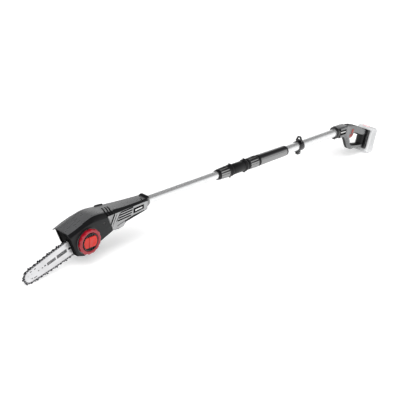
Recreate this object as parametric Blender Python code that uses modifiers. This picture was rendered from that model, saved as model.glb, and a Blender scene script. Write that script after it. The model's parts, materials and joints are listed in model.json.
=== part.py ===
"""Telescoping battery pole saw, built as an assembly of separate parts.

While modelling, X runs along the pole from the saw to the handle, Y across and Z up.
The pole's axis is y = z = 0, and x = 0 is the front rim of the telescope lock.
The last step stands the tool on the floor with the middle of its base at the origin.
Sizes are in millimetres, and MM turns them into Blender's metres.
"""
import math

import bmesh
import bpy
from mathutils import Vector

MM = 0.001
GAP = 0.3                 # clearance between touching parts
SHELL = 2.5               # wall of the moulded covers

# Pole
INNER_R, INNER_BORE = 14.0, 12.5
OUTER_R, OUTER_BORE = 16.0, 14.6
INNER_FRONT, INNER_REAR = -425.0, 385.0
OUTER_FRONT, OUTER_REAR = 86.0, 735.0

# Guide bar: its line dips below the pole towards the nose
STUD = (-607.0, -42.0)    # x, z of the bar stud and of the clamp knob
BAR_DIP = math.radians(16.8)
BAR_Y = -15.0
BAR_THICK = 4.0
CHAIN_WIDTH = 7.0
CHAIN_HEIGHT = 6.5
NOSE_AT = -211.0          # along the bar from the stud
NOSE_R = 19.5
BAR_CORNER = 12.0         # radius that rounds the long edges of the bar
SPROCKET_AT = 42.0
SPROCKET_R = 14.8

# Head, station by station: x, roof height, band height, roof half width, band half width
HEAD_STATIONS = [
    (-680.0, -1.0, -12.0, 28.0, 43.0),
    (-657.0, 5.5, -3.5, 28.0, 43.4),
    (-631.0, 15.0, 5.5, 28.0, 43.5),
    (-604.0, 25.0, 13.0, 28.0, 43.3),
    (-583.0, 30.4, 15.6, 28.0, 43.0),
    (-558.0, 30.8, 16.4, 28.0, 42.0),
    (-528.0, 27.8, 15.6, 27.8, 40.0),
    (-440.0, 20.8, 14.0, 25.5, 32.0),
    (-345.0, 18.2, 11.0, 19.5, 23.5),
]
BELLY = [(-656.0, -65.0), (-630.0, -71.0), (-556.0, -56.0), (-511.0, -42.0), (-472.0, -48.0),
         (-456.0, -47.0), (-444.0, -35.0), (-345.0, -24.0)]
HEAD_REAR = -345.0
COVER_LEAN = -0.42        # x per z along the cover's front and rear edges
COVER_REAR = -528.0       # where that rear edge meets the roof's band, at BAND_Z
BAND_Z = 15.6
BELLY_Z = -46.0           # about where that rear edge reaches the belly
FRONT_REF = -682.0        # where the front edge of the halves would reach BAND_Z
COVER_Y = 39.0            # how far the sprocket cover's face stands out

# Gears, between the output shaft and the motor beside it
MODULE = 1.25
GEAR_TEETH, PINION_TEETH = 28, 10
MOTOR_ANGLE = math.radians(18.5)

# Battery dock: a leaning plane behind the handle
DOCK = (886.0, -70.0)
DOCK_LEAN = math.radians(15.0)
BATTERY_DEPTH, BATTERY_HALF = 40.0, 33.0
BATTERY_LOW = -54.0

# Handle: half widths at its grip and at the neck that holds the pole
HANDLE_HALF, NECK_HALF = 15.5, 20.0


# ---------------------------------------------------------------- building blocks

def clear_scene():
    for obj in list(bpy.data.objects):
        bpy.data.objects.remove(obj, do_unlink=True)


def collection(name):
    made = bpy.data.collections.new(name)
    bpy.context.scene.collection.children.link(made)
    return made


def look(name, colour, roughness, metallic=0.0):
    """One Principled material."""
    made = bpy.data.materials.new(name)
    made.use_nodes = True
    made.diffuse_color = (*colour, 1.0)
    shader = made.node_tree.nodes["Principled BSDF"]
    shader.inputs["Base Color"].default_value = (*colour, 1.0)
    shader.inputs["Roughness"].default_value = roughness
    shader.inputs["Metallic"].default_value = metallic
    return made


def frame(name, parent, place=(0, 0, 0), turn=(0, 0, 0)):
    """Empty that carries a group of parts; it lies on the axis that the group moves about."""
    empty = bpy.data.objects.new(name, None)
    empty.empty_display_size = 0.02
    PARTS.objects.link(empty)
    empty.parent = parent
    empty.location = Vector(place) * MM
    empty.rotation_euler = turn
    return empty


def part(name, mesh, finish, carrier):
    """Link a mesh as one named part, carried by a frame."""
    mesh.name = name
    if finish is not None:
        mesh.materials.clear()
        mesh.materials.append(finish)
    obj = bpy.data.objects.new(name, mesh)
    (PARTS if finish is not None else CUTTERS).objects.link(obj)
    obj.parent = carrier
    if finish is None:
        obj.hide_render = True
        obj.display_type = "WIRE"
    return obj


def shade(mesh, degrees=35.0):
    mesh.shade_smooth()
    mesh.set_sharp_from_angle(angle=math.radians(degrees))


def bevel(obj, width, segments=2, weighted=False):
    edge = obj.modifiers.new("edges", "BEVEL")
    edge.width = width * MM
    edge.segments = segments
    edge.limit_method = "WEIGHT" if weighted else "ANGLE"
    edge.angle_limit = math.radians(40.0)
    return obj


def box(name, finish, carrier, low, high):
    """Box between two corners, in the carrier's millimetres."""
    bm = bmesh.new()
    bmesh.ops.create_cube(bm, size=1.0)
    size = [b - a for a, b in zip(low, high)]
    middle = [(a + b) / 2 for a, b in zip(low, high)]
    for vert in bm.verts:
        vert.co = Vector(m + c * s for m, c, s in zip(middle, vert.co, size)) * MM
    mesh = bpy.data.meshes.new(name)
    bm.to_mesh(mesh)
    bm.free()
    return part(name, mesh, finish, carrier)


def rod(name, finish, carrier, radius, low, high, at=(0, 0), sides=24):
    """Cylinder along the carrier's Z."""
    bm = bmesh.new()
    bmesh.ops.create_cone(bm, cap_ends=True, segments=sides, radius1=radius * MM,
                          radius2=radius * MM, depth=(high - low) * MM)
    for vert in bm.verts:
        vert.co += Vector((at[0], at[1], (low + high) / 2)) * MM
    mesh = bpy.data.meshes.new(name)
    bm.to_mesh(mesh)
    bm.free()
    shade(mesh)
    return part(name, mesh, finish, carrier)


def turned(name, finish, carrier, profile, closed=True, steps=24):
    """Spin a profile of (radius, height) about the carrier's Z; it runs down its outer side."""
    mesh = bpy.data.meshes.new(name)
    verts = [(r * MM, 0.0, h * MM) for r, h in profile]
    edges = [(i, i + 1) for i in range(len(verts) - 1)]
    if closed:
        edges.append((len(verts) - 1, 0))
    mesh.from_pydata(verts, edges, [])
    obj = part(name, mesh, finish, carrier)
    spin = obj.modifiers.new("spin", "SCREW")
    spin.angle = math.tau
    spin.steps = steps
    spin.render_steps = steps
    spin.use_merge_vertices = True
    spin.merge_threshold = 0.00001
    spin.use_smooth_shade = True
    return obj


def sleeve(name, finish, carrier, bore, radius, low, high, steps=24):
    """Plain round tube."""
    return turned(name, finish, carrier,
                  [(radius, high), (radius, low), (bore, low), (bore, high)], steps=steps)


def loft(name, finish, carrier, rings, closed=False):
    """Skin rings of equal point counts; the ends are capped, or joined when closed."""
    count = len(rings[0])
    bm = bmesh.new()
    made = [[bm.verts.new(Vector(p) * MM) for p in ring] for ring in rings]
    pairs = list(zip(made, made[1:]))
    if closed:
        pairs.append((made[-1], made[0]))
    for near, far in pairs:
        for i in range(count):
            j = (i + 1) % count
            bm.faces.new((near[i], near[j], far[j], far[i]))
    if not closed:
        bm.faces.new(made[0][::-1])
        bm.faces.new(made[-1])
    bmesh.ops.recalc_face_normals(bm, faces=bm.faces)
    mesh = bpy.data.meshes.new(name)
    bm.to_mesh(mesh)
    bm.free()
    shade(mesh)
    return part(name, mesh, finish, carrier)


def plate(name, finish, carrier, outlines, low, high):
    """Flat outlines (the later ones are holes) in the carrier's XY, from low to high on its Z."""
    curve = bpy.data.curves.new(name + "_outline", "CURVE")
    curve.dimensions = "2D"
    curve.fill_mode = "BOTH"
    curve.extrude = (high - low) / 2 * MM
    for outline in outlines:
        spline = curve.splines.new("POLY")
        spline.points.add(len(outline) - 1)
        for point, (x, y) in zip(spline.points, outline):
            point.co = (x * MM, y * MM, 0.0, 1.0)
        spline.use_cyclic_u = True
    drawn = bpy.data.objects.new(name + "_outline", curve)
    CUTTERS.objects.link(drawn)
    drawn.parent = carrier
    drawn.location = (0.0, 0.0, (low + high) / 2 * MM)
    bpy.context.view_layer.update()
    evaluated = drawn.evaluated_get(bpy.context.evaluated_depsgraph_get())
    mesh = bpy.data.meshes.new_from_object(evaluated)
    bm = bmesh.new()
    bm.from_mesh(mesh)
    bmesh.ops.remove_doubles(bm, verts=bm.verts, dist=0.00001)
    bmesh.ops.dissolve_limit(bm, angle_limit=0.001, verts=bm.verts, edges=bm.edges)
    bm.to_mesh(mesh)
    bm.free()
    shade(mesh)
    obj = part(name, mesh, finish, carrier)
    obj.location = drawn.location
    bpy.data.objects.remove(drawn, do_unlink=True)
    return obj


def join(target, tool, operation="DIFFERENCE"):
    """Cut the tool from the target, or add it."""
    step = target.modifiers.new(tool.name, "BOOLEAN")
    step.operation = operation
    step.object = tool
    return target


def fuse(target, tool):
    return join(target, tool, "UNION")


# ---------------------------------------------------------------- outlines

def arc(centre, radius, start, end, count):
    """Points of an arc, angles in degrees, both ends included."""
    angles = [math.radians(start + (end - start) * i / (count - 1)) for i in range(count)]
    return [(centre[0] + radius * math.cos(a), centre[1] + radius * math.sin(a)) for a in angles]


def circle(centre, radius, count=24):
    return arc(centre, radius, 0, 360 * (count - 1) / count, count)


def hull(points):
    """Convex hull, counter-clockwise."""
    points = sorted(set(points))

    def half(ordered):
        chain = []
        for p in ordered:
            while len(chain) > 1:
                (ax, ay), (bx, by) = chain[-2], chain[-1]
                if (bx - ax) * (p[1] - ay) - (by - ay) * (p[0] - ax) > 1e-9:
                    break
                chain.pop()
            chain.append(p)
        return chain[:-1]

    return half(points) + half(points[::-1])


def belt(circles, extra, count=32):
    """Outline of a belt pulled round circles (x, y, radius), standing off by extra."""
    return hull([p for x, y, r in circles for p in circle((x, y), r + extra, count)])


def inset(outline, distance):
    """Move each corner of a counter-clockwise outline inwards by a distance."""
    moved = []
    for i, (x, y) in enumerate(outline):
        before = Vector((x, y)) - Vector(outline[i - 1])
        after = Vector(outline[(i + 1) % len(outline)]) - Vector((x, y))
        n1 = Vector((-before.y, before.x)).normalized()
        n2 = Vector((-after.y, after.x)).normalized()
        shift = (n1 + n2) * (distance / (1.0 + n1.dot(n2)))
        moved.append((x + shift.x, y + shift.y))
    return moved


def gear_outline(teeth, pitch_r, phase, addendum, dedendum):
    """Teeth with straight flanks, one of them centred on the phase angle."""
    pitch = math.tau / teeth
    corners = [(-0.26, -dedendum), (-0.10, addendum), (0.10, addendum), (0.26, -dedendum)]
    points = []
    for tooth in range(teeth):
        for turn, rise in corners:
            angle = phase + (tooth + turn) * pitch
            radius = pitch_r + rise
            points.append((radius * math.cos(angle), radius * math.sin(angle)))
    return points


def ribbed_rings(stations, ribs):
    """Rings for a ribbed collar; each station is (height, radius, depth of the ribs)."""
    share = [0.0, 0.3, 0.5, 0.8]
    rings = []
    for height, radius, depth in stations:
        ring = []
        for rib in range(ribs):
            for k, turn in enumerate(share):
                angle = math.tau * (rib + turn) / ribs
                r = radius - (depth if k in (0, 3) else 0.0)
                ring.append((r * math.cos(angle), r * math.sin(angle), height))
        rings.append(ring)
    return rings


def lerp_line(points, x):
    """Height at x of a line given by (x, z) points."""
    for (x0, z0), (x1, z1) in zip(points, points[1:]):
        if x <= x1:
            return z0 + (z1 - z0) * (x - x0) / (x1 - x0)
    return points[-1][1]


def head_at(x):
    """Roof height, band height, roof half width and band half width at x."""
    return [lerp_line([(s[0], s[k]) for s in HEAD_STATIONS], x) for k in range(1, 5)]


def on_bar(along, up=0.0):
    """The x, z of a point given along the bar from the stud and square to it."""
    c, s = math.cos(BAR_DIP), math.sin(BAR_DIP)
    return STUD[0] + along * c - up * s, STUD[1] + along * s + up * c


def on_dock(out, up):
    """The x, z of a point given square to the battery dock and up along it."""
    c, s = math.cos(DOCK_LEAN), math.sin(DOCK_LEAN)
    return DOCK[0] + out * c + up * s, DOCK[1] - out * s + up * c


# ---------------------------------------------------------------- pole and telescope lock

def build_pole():
    """Two tubes that slide in each other, with the telescope lock between them."""
    sleeve("inner_tube", ALUMINIUM, HEAD_POLE, INNER_BORE, INNER_R, INNER_FRONT, INNER_REAR)
    turned("tube_end_bush", BLACK, HEAD_POLE, [
        (14.3, INNER_REAR + 3.3), (14.3, INNER_REAR + GAP), (12.2, INNER_REAR + GAP),
        (12.2, INNER_REAR - 14), (10.0, INNER_REAR - 14), (10.0, INNER_REAR + 3.3)])
    sleeve("outer_tube", ALUMINIUM, POLE, OUTER_BORE, OUTER_R, OUTER_FRONT, OUTER_REAR)
    rod("coiled_cable", BLACK, POLE, 8.0, -118, 690, sides=16)

    body = turned("lock_body", BLACK, POLE, [
        (19.8, 152), (21.0, 149.5), (22.3, 146), (22.3, 141), (18.4, 139),
        (18.2, 73), (21.8, 71), (21.8, 66), (20.6, 64), (17.2, 64), (17.2, 31),
        (14.3, 31), (14.3, OUTER_FRONT - GAP), (16.3, OUTER_FRONT - GAP), (16.3, 152)])
    for name, low, high in (("front", 65.5, 70.5), ("rear", 141.2, 146.2)):
        for side in (-1, 1):
            ear = box(f"lock_ear_{name}_{'down' if side < 0 else 'up'}", None, POLE,
                      (17.5 if side > 0 else -25.6, -7, low), (25.6 if side > 0 else -17.5, 7, high))
            fuse(body, bevel(ear, 1.2, 1))
    collet = turned("lock_collet", PALE, POLE, [
        (15.5, 6), (17.1, 28), (14.3, 28), (14.3, 6)][::-1])
    join(collet, box("collet_slit", None, POLE, (-20, -1, 0), (0, 1, 40)))

    nut = [(GAP, 17.2, 0.0), (8, 18.3, 0.0), (12, 19.2, 1.6), (50, 21.0, 1.8), (56, 20.8, 0.0),
           (63, 20.6, 0.0), (63, 17.5, 0.0), (30, 17.5, 0.0), (5, 15.9, 0.0), (5, 14.4, 0.0),
           (GAP, 14.4, 0.0)]
    loft("lock_nut", BLACK, LOCK_TURN, ribbed_rings(nut, 12), closed=True)
    rear = [(155, 19.2, 0.0), (159, 20.0, 0.0), (163, 20.6, 1.6), (200, 21.9, 1.8),
            (205, 21.6, 0.0), (209, 20.8, 0.0), (209, 16.4, 0.0), (155, 16.4, 0.0)]
    loft("grip_nut", BLACK, GRIP_TURN, ribbed_rings(rear, 12), closed=True)
    turned("front_grip", BLACK, POLE, [
        (16.3, 375), (17.6, 375), (18.6, 372), (19.3, 340), (20.2, 230), (20.6, 218),
        (20.0, 210.5), (16.3, 210.5)])


def build_strap_ring():
    """Clamp band with an eye for a shoulder strap, closed by a screw under the pole."""
    ring = sleeve("strap_ring", BLACK, STRAP, 16.4, 20.2, -12, 12)
    eye_base, eye_top, eye_width = 17.5, 37.5, 14.0
    outline = [(-eye_base, -eye_width), (-eye_base, eye_width), (-eye_base - 5, eye_width),
               (-eye_top, 6.0), (-eye_top, -6.0), (-eye_base - 5, -eye_width)]
    hole = [(-25.0, -8.0), (-25.0, 8.0), (-33.0, 3.5), (-33.0, -3.5)]
    eye = plate("strap_eye", None, STRAP, [outline, hole], -3.5, 3.5)
    fuse(ring, eye)
    fuse(ring, bevel(box("strap_ears", None, STRAP, (18.5, -6.5, -9), (34, 6.5, 9)), 1.5, 1))
    join(ring, box("strap_slit", None, STRAP, (10, -1.5, -20), (40, 1.5, 20)))
    join(ring, rod("strap_hole", None, STRAP_SCREW, 2.4, -20, 20, sides=16))
    screw = rod("strap_screw", STEEL, STRAP_SCREW, 2.0, -9, 8.5, sides=16)
    fuse(screw, rod("strap_screw_head", None, STRAP_SCREW, 5.5, 7.0, 15.0, sides=10))


# ---------------------------------------------------------------- head covers

def roof_ring(x, crest, band, crest_half, band_half):
    """Section of the roof: an upturned channel with sloping side bands."""
    t = SHELL
    return [(x, -band_half, band), (x, -crest_half, crest), (x, crest_half, crest),
            (x, band_half, band), (x, band_half - t, band), (x, crest_half - t * 0.6, crest - t),
            (x, -crest_half + t * 0.6, crest - t), (x, -band_half + t, band)]


def half_ring(x, side, wall, corner, lean=0.0, deeper=0.0):
    """Section of a head half: a side wall that turns under the head to the split plane."""
    top = head_at(x)[1] - 0.5
    low = lerp_line(BELLY, x + lean * (BELLY_Z - BAND_Z))
    t = SHELL
    outer = [(wall, top), (wall, low + corner), (wall - corner, low), (0.15, low)]
    inner = [(0.15, low + t), (wall - corner - 1, low + t), (wall - t, low + corner + 1),
             (wall - t, top)]
    ring = [(x + lean * (z - BAND_Z), side * y, z) for y, z in outer]
    ring += [(x + deeper + lean * (z - BAND_Z), side * y, z) for y, z in inner]
    return ring


def build_head_covers():
    """Roof, two halves and the sprocket cover."""
    roof = loft("head_top_cover", CHARCOAL, HEAD, [roof_ring(*s) for s in HEAD_STATIONS])
    bevel(roof, 1.0, 1)

    stations = [-656, -604, -583, -528, -511, -472, -456, -444, -400, HEAD_REAR]
    far = [half_ring(x, 1, 41.0, 6, COVER_LEAN) for x in (FRONT_REF, stations[0])]
    far += [half_ring(x, 1, head_at(x)[3] - 1.5, 6, COVER_LEAN) for x in stations[1:4]]
    far += [half_ring(x, 1, head_at(x)[3] - 1.5, 6) for x in stations[5:]]
    right = loft("head_housing_right", GREY, HEAD, far)
    join(right, rod("oil_hole", None, OIL_TURN, 10.3, -12, 4))

    near = [half_ring(FRONT_REF, -1, 11.0, 3, COVER_LEAN)]
    near += [half_ring(x, -1, 11.0, 3, COVER_LEAN) for x in stations[:3]]
    near.append(half_ring(COVER_REAR + 0.5, -1, 11.0, 3, COVER_LEAN, SHELL))
    wall = head_at(COVER_REAR)[3] - 1.5
    near.append(half_ring(COVER_REAR + 0.8, -1, wall, 6, COVER_LEAN, SHELL))
    near += [half_ring(x, -1, head_at(x)[3] - 1.5, 6) for x in stations[5:]]
    left = loft("head_housing_left", GREY, HEAD, near)
    join(left, rod("stud_hole", None, KNOB, 4.3, 0, 20))
    join(left, rod("bearing_hole", None, OUTPUT, 11.0, 5, 14))
    for k in range(4):
        slot = box(f"vent_{k}", None, HEAD, (-484 + 3 * k, -50, -16.2 + 6 * k),
                   (-420 + 2 * k, -26, -13.6 + 6 * k))
        join(left, slot)

    corners = [(-677.5, -16.0), (-675.0, -16.0), (-675.0, -59.0), (-677.5, -59.0)]
    corners = [(x + COVER_LEAN * (z - BAND_Z), z) for x, z in corners]
    loft("front_plate", BLACK, HEAD, [[(x, y, z) for x, z in corners] for y in (-8.1, 36.5)])

    turned("head_collar", BLACK, HEAD_POLE, [
        (14.3, -331), (18.0, -331), (19.2, -332.5), (20.4, -337), (20.8, -340),
        (20.8, HEAD_REAR + GAP), (14.3, HEAD_REAR + GAP)])
    sleeve("tube_socket", BLACK, HEAD_POLE, 14.3, 15.4, INNER_FRONT + 2, HEAD_REAR - 6)
    badge = [(-412, -30.5, -12), (-364, -24.5, -9.5), (-364, -24.5, 4.5), (-412, -30.5, 5.0)]
    slope = (head_at(-412)[3] - head_at(-364)[3]) / 48.0
    rings = []
    for rise in (GAP, 1.8):
        rings.append([(x, -(head_at(x)[3] - 1.5 + rise), z) for x, _, z in badge])
    loft("badge_plate", BLACK, HEAD, rings)


def build_sprocket_cover():
    """Dished cover over the drive sprocket, open at the front where the bar comes out."""
    rear_top = (COVER_REAR - 0.2, 14.6)
    rear_low = (COVER_REAR - 0.2 + COVER_LEAN * (-40.5 - BAND_Z), -40.5)
    outline = [(-677.0, -13.5), (-648.0, -83.0), (-619.0, -91.5), (-552.0, -60.0), rear_low,
               rear_top, (-558.0, 15.4), (-583.0, 14.5), (-604.0, 11.8), (-631.0, 4.4),
               (-657.0, -4.8)]
    levels = [(inset(outline, SHELL), COVER_Y - SHELL), (inset(outline, SHELL), 11.3),
              (outline, 11.3), (outline, COVER_Y - 4.0), (inset(outline, 3.0), COVER_Y)]
    rings = [[(x, z, w) for x, z in shape] for shape, w in levels]
    cover = loft("sprocket_cover", CHARCOAL, HEAD_SIDE, rings)
    fuse(cover, rod("knob_seat", None, KNOB, 42.0, COVER_Y - 1, COVER_Y + 2.6, sides=48))
    mouth = box("bar_mouth", None, BAR, (-120, -35.0, -6), (-30, 35.0, 5.5))
    join(cover, mouth)
    join(cover, rod("knob_hole", None, KNOB, 13.0, 30, 50))


# ---------------------------------------------------------------- bar, chain and knob

def build_bar():
    """Guide bar with its nose sprocket and the peg that the tension ring moves."""
    shape = [(NOSE_AT, 0, NOSE_R)]
    shape += [(-120, s * 13, BAR_CORNER) for s in (-1, 1)]
    shape += [(-18, s * 14, BAR_CORNER) for s in (-1, 1)]
    shape += [(10, s * 8, 8) for s in (-1, 1)]
    half = BAR_THICK / 2
    slot = arc((-49, 0), 4.5, 90, 270, 9) + arc((5, 0), 4.5, -90, 90, 9)
    peg_hole = circle((-20, -12), 2.3, 16)
    bar = plate("guide_bar", BRIGHT, BAR, [belt(shape, 0.0), slot, peg_hole], -half, half)
    groove = turned("nose_slot", None, NOSE, [
        (NOSE_R + 4, 0.95), (NOSE_R + 4, -0.95), (4.5, -0.95), (4.5, 0.95)])
    join(bar, groove)
    wheel = gear_outline(11, 14.0, 0.0, 2.4, 2.0)
    plate("nose_sprocket", STEEL, NOSE, [wheel, circle((0, 0), 4.8)], -0.65, 0.65)
    rod("tension_peg", STEEL, BAR, 2.0, -1.8, 6.7, at=(-20, -12), sides=16)


def build_chain():
    """Saw chain as one closed band round the bar and the drive sprocket."""
    loop = [(NOSE_AT, 0, NOSE_R)]
    loop += [(-120, s * 13, BAR_CORNER) for s in (-1, 1)]
    loop += [(-12, s * 14, BAR_CORNER) for s in (-1, 1)]
    loop.append((SPROCKET_AT, 0, SPROCKET_R + 0.5))
    half = CHAIN_WIDTH / 2
    plate("saw_chain", STEEL, BAR_REST, [belt(loop, CHAIN_HEIGHT), belt(loop, GAP)], -half, half)


def build_bar_mount():
    """Stud and steel plates that hold the bar between the head and the sprocket cover."""
    pad = [(-45, -18), (14, -18), (14, 18), (-45, 18)]
    stud_hole = circle((0, 0), 4.3, 16)
    inner = plate("bar_pad_plate", STEEL, BAR_REST, [pad, stud_hole], -3.7, -2.3)
    bevel(inner, 0.3, 1)
    peg_slot = [(-23.5, -15), (-11, -15), (-11, -9), (-23.5, -9)]
    plate("clamp_plate", STEEL, BAR_REST, [pad, stud_hole, peg_slot], 2.3, 3.7)
    turned("bar_stud", STEEL, KNOB, [
        (0, 43), (3.2, 43), (4.0, 42), (4.0, 8.2), (9.0, 8.2), (9.0, 5.5), (0, 5.5)],
        closed=False, steps=24)


def build_knob():
    """Clamp knob with a fold-out grip, inside the ring that tensions the chain."""
    lobes = 18
    scallop = [0.0, 0.3, 0.7]

    def rim(height, radius, depth):
        ring = []
        for lobe in range(lobes):
            for turn in scallop:
                angle = math.tau * (lobe + turn) / lobes
                dip = depth * max(0.0, math.cos(math.tau * turn))
                ring.append(((radius - dip) * math.cos(angle), (radius - dip) * math.sin(angle),
                             height))
        return ring

    profile = [(24.8, 12.6, 0), (44.2, 12.6, 0), (44.2, 36.0, 0), (42.0, 36.0, 0),
               (42.0, 39.2, 1.4), (50.5, 40.0, 1.8), (53.0, 36.5, 0.6), (53.0, 29.6, 0),
               (46.0, 29.6, 0), (46.0, 10.3, 0), (24.8, 10.3, 0)]
    loft("tension_ring", RED, RING, [rim(*p) for p in profile], closed=True)
    sleeve("tension_cam", STEEL, RING, 10.3, 23.0, 22.0, 24.5)

    turned("clamp_knob", BLACK, KNOB, [
        (0, 49), (26.6, 49), (26.6, 52.6), (27.4, 53.4), (28.6, 53.4), (29.2, 52.6),
        (29.2, 46.3), (9.9, 46.3), (9.9, 19.1), (4.4, 19.1), (4.4, 45), (0, 45)],
        closed=False, steps=32)
    pad_edge, flap_edge, wing = -6.9, -6.5, 25.6
    reach = math.degrees(math.acos(-pad_edge / wing))
    cap = math.degrees(math.asin(17.5 / wing))
    pad = arc((0, 0), wing, 180 - cap, 180 + cap, 9) + [(pad_edge, -17.5), (pad_edge, 17.5)]
    bevel(plate("knob_pad", RED, KNOB, [pad], 49 + GAP, 53.3), 0.8, 2)
    flap = arc((0, 0), wing, -cap, cap, 11) + [(flap_edge, 17.5), (flap_edge, -17.5)]
    grip = plate("knob_flap", RED, KNOB_FACE, [flap], 49 + GAP, 53.3)
    hinge_line = [e for e in grip.data.edges
                  if all(abs(grip.data.vertices[v].co.x - flap_edge * MM) < 1e-6
                         for v in e.vertices)
                  and abs(grip.data.vertices[e.vertices[0]].co.z
                          - grip.data.vertices[e.vertices[1]].co.z) < 1e-6]
    weights = grip.data.attributes.new("bevel_weight_edge", "FLOAT", "EDGE")
    for edge in hinge_line:
        weights.data[edge.index].value = 1.0
    bevel(grip, 1.95, 4, weighted=True)
    join(grip, rod("flap_bore", None, FLAP, 1.5, -30, 30, sides=16))
    rod("flap_pin", STEEL, FLAP_REST, 1.2, -17, 17, sides=12)


# ---------------------------------------------------------------- drive and oil

def build_drive():
    """Motor beside the output shaft, geared down to the drive sprocket."""
    pitch_gear, pitch_pinion = MODULE * GEAR_TEETH / 2, MODULE * PINION_TEETH / 2
    addendum, dedendum = 0.75 * MODULE, 1.1 * MODULE
    gear = gear_outline(GEAR_TEETH, pitch_gear, MOTOR_ANGLE, addendum, dedendum)
    phase = MOTOR_ANGLE + math.pi + math.pi / PINION_TEETH
    pinion = gear_outline(PINION_TEETH, pitch_pinion, phase, addendum, dedendum)
    plate("output_gear", STEEL, OUTPUT, [gear, circle((0, 0), 4.3)], -3, 4)
    plate("motor_pinion", STEEL, MOTOR, [pinion, circle((0, 0), 2.8, 16)], -3, 4)
    rod("output_shaft", STEEL, OUTPUT, 4.0, -9.2, 20.5)
    teeth = gear_outline(6, 12.6, 0.0, 2.2, 2.6)
    plate("drive_sprocket", STEEL, OUTPUT, [teeth, circle((0, 0), 4.3)], 12.2, 17.6)
    turned("sprocket_clip", STEEL, OUTPUT, [(8, 19.3), (8, 18), (4.3, 18), (4.3, 19.3)], steps=24)
    sleeve("output_bearing", STEEL, OUTPUT, 4.3, 10.7, 6.0, 11.2)
    sleeve("rear_bearing", STEEL, OUTPUT, 4.3, 8.0, -9.4, -5.6)

    px, pz = OUTPUT_AT
    mount = [(-590, -9), (-590, -54), (-545, -46), (-521, -37), (-521, -9)]
    mount = [(x - px, z - pz) for x, z in mount]
    motor = (MOTOR_AT[0] - px, MOTOR_AT[1] - pz)
    plate("gearcase_plate", CAST, OUTPUT, [mount, circle((0, 0), 8.3), circle(motor, 8.3)], -9, -6)
    turned("motor_can", CAST, MOTOR, [
        (6.0, -9.4), (19.5, -9.4), (20, -10), (20, -34.0), (19.5, -34.5), (4.0, -34.5), (4.0, -32.5),
        (17.6, -32.5), (17.6, -11.4), (6.0, -11.4)])
    turned("motor_rotor", STEEL, MOTOR, [
        (0, 5), (2.5, 5), (2.5, -13), (15, -13), (15, -30), (2.5, -30), (2.5, -33.5), (0, -33.5)],
        closed=False, steps=28)


def build_oil_and_electronics():
    """Chain oil tank, its pump and cap, and the motor controller."""
    tank = [(-650, -8), (-594, -8), (-594, -50), (-640, -54), (-650, -40)]
    rings = [[(x, y, z) for x, z in tank] for y in (-4.0, 34.0)]
    tank_body = bevel(loft("oil_tank", PALE, HEAD, rings), 2.0, 1)
    join(tank_body, rod("tank_neck", None, OIL_TURN, 8.0, -40, 0))
    box("oil_pump", CAST, HEAD, (-588, 12, -44), (-572, 30, -26))
    board = box("controller_board", GREEN, HEAD, (-505, -21, -14), (-440, 21, -12.4))
    fuse(board, box("board_heatsink", None, HEAD, (-500, -15, -12.8), (-470, 15, -4)))
    cap = [(GAP, 12.2, 0.0), (GAP, 13.4, 1.2), (6.0, 13.2, 1.2), (7.6, 11.8, 0.0)]
    rings = [ring for ring in ribbed_rings([(-6.5, 9.0, 0.0), (GAP, 9.0, 0.0)] + cap, 12)]
    loft("oil_cap", RED, OIL_TURN, rings)


# ---------------------------------------------------------------- handle and battery

def handle_outline():
    """Side view of the handle: neck, arched grip, rear wall, lower bar and front guard."""
    top = [(690, 19.8), (716, 20.4), (744, 19.4), (746, 17.2), (772, 13.0), (800, 4.6),
           (830, -7.6), (858, -20)]
    rear = [on_dock(-15, 36), on_dock(-15, -37.5)]
    low = [(820, -95), (800, -92.5), (787, -93.5), (778, -89), (768, -74), (757, -51),
           (745, -31), (731, -24.5), (690, -22.5)]
    return (top + rear + low)[::-1]


def finger_opening():
    """The hole of the handle, which the fingers go through."""
    return [(765, -31), (775, -61), (780, -69.5), (792, -73), (853, -84.5), (860, -50),
            (835, -44), (800, -36)]


def spread(mesh, stations):
    """Scale the width of a side-on mesh along x; each station is (x, factor)."""
    bm = bmesh.new()
    bm.from_mesh(mesh)
    for x, _ in stations:
        bmesh.ops.bisect_plane(bm, geom=bm.verts[:] + bm.edges[:] + bm.faces[:], dist=1e-6,
                               plane_co=(x * MM, 0, 0), plane_no=(1, 0, 0))
    for vert in bm.verts:
        x = max(vert.co.x / MM, stations[0][0])
        vert.co.z *= lerp_line(stations, x)
    bm.to_mesh(mesh)
    bm.free()
    shade(mesh)


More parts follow.
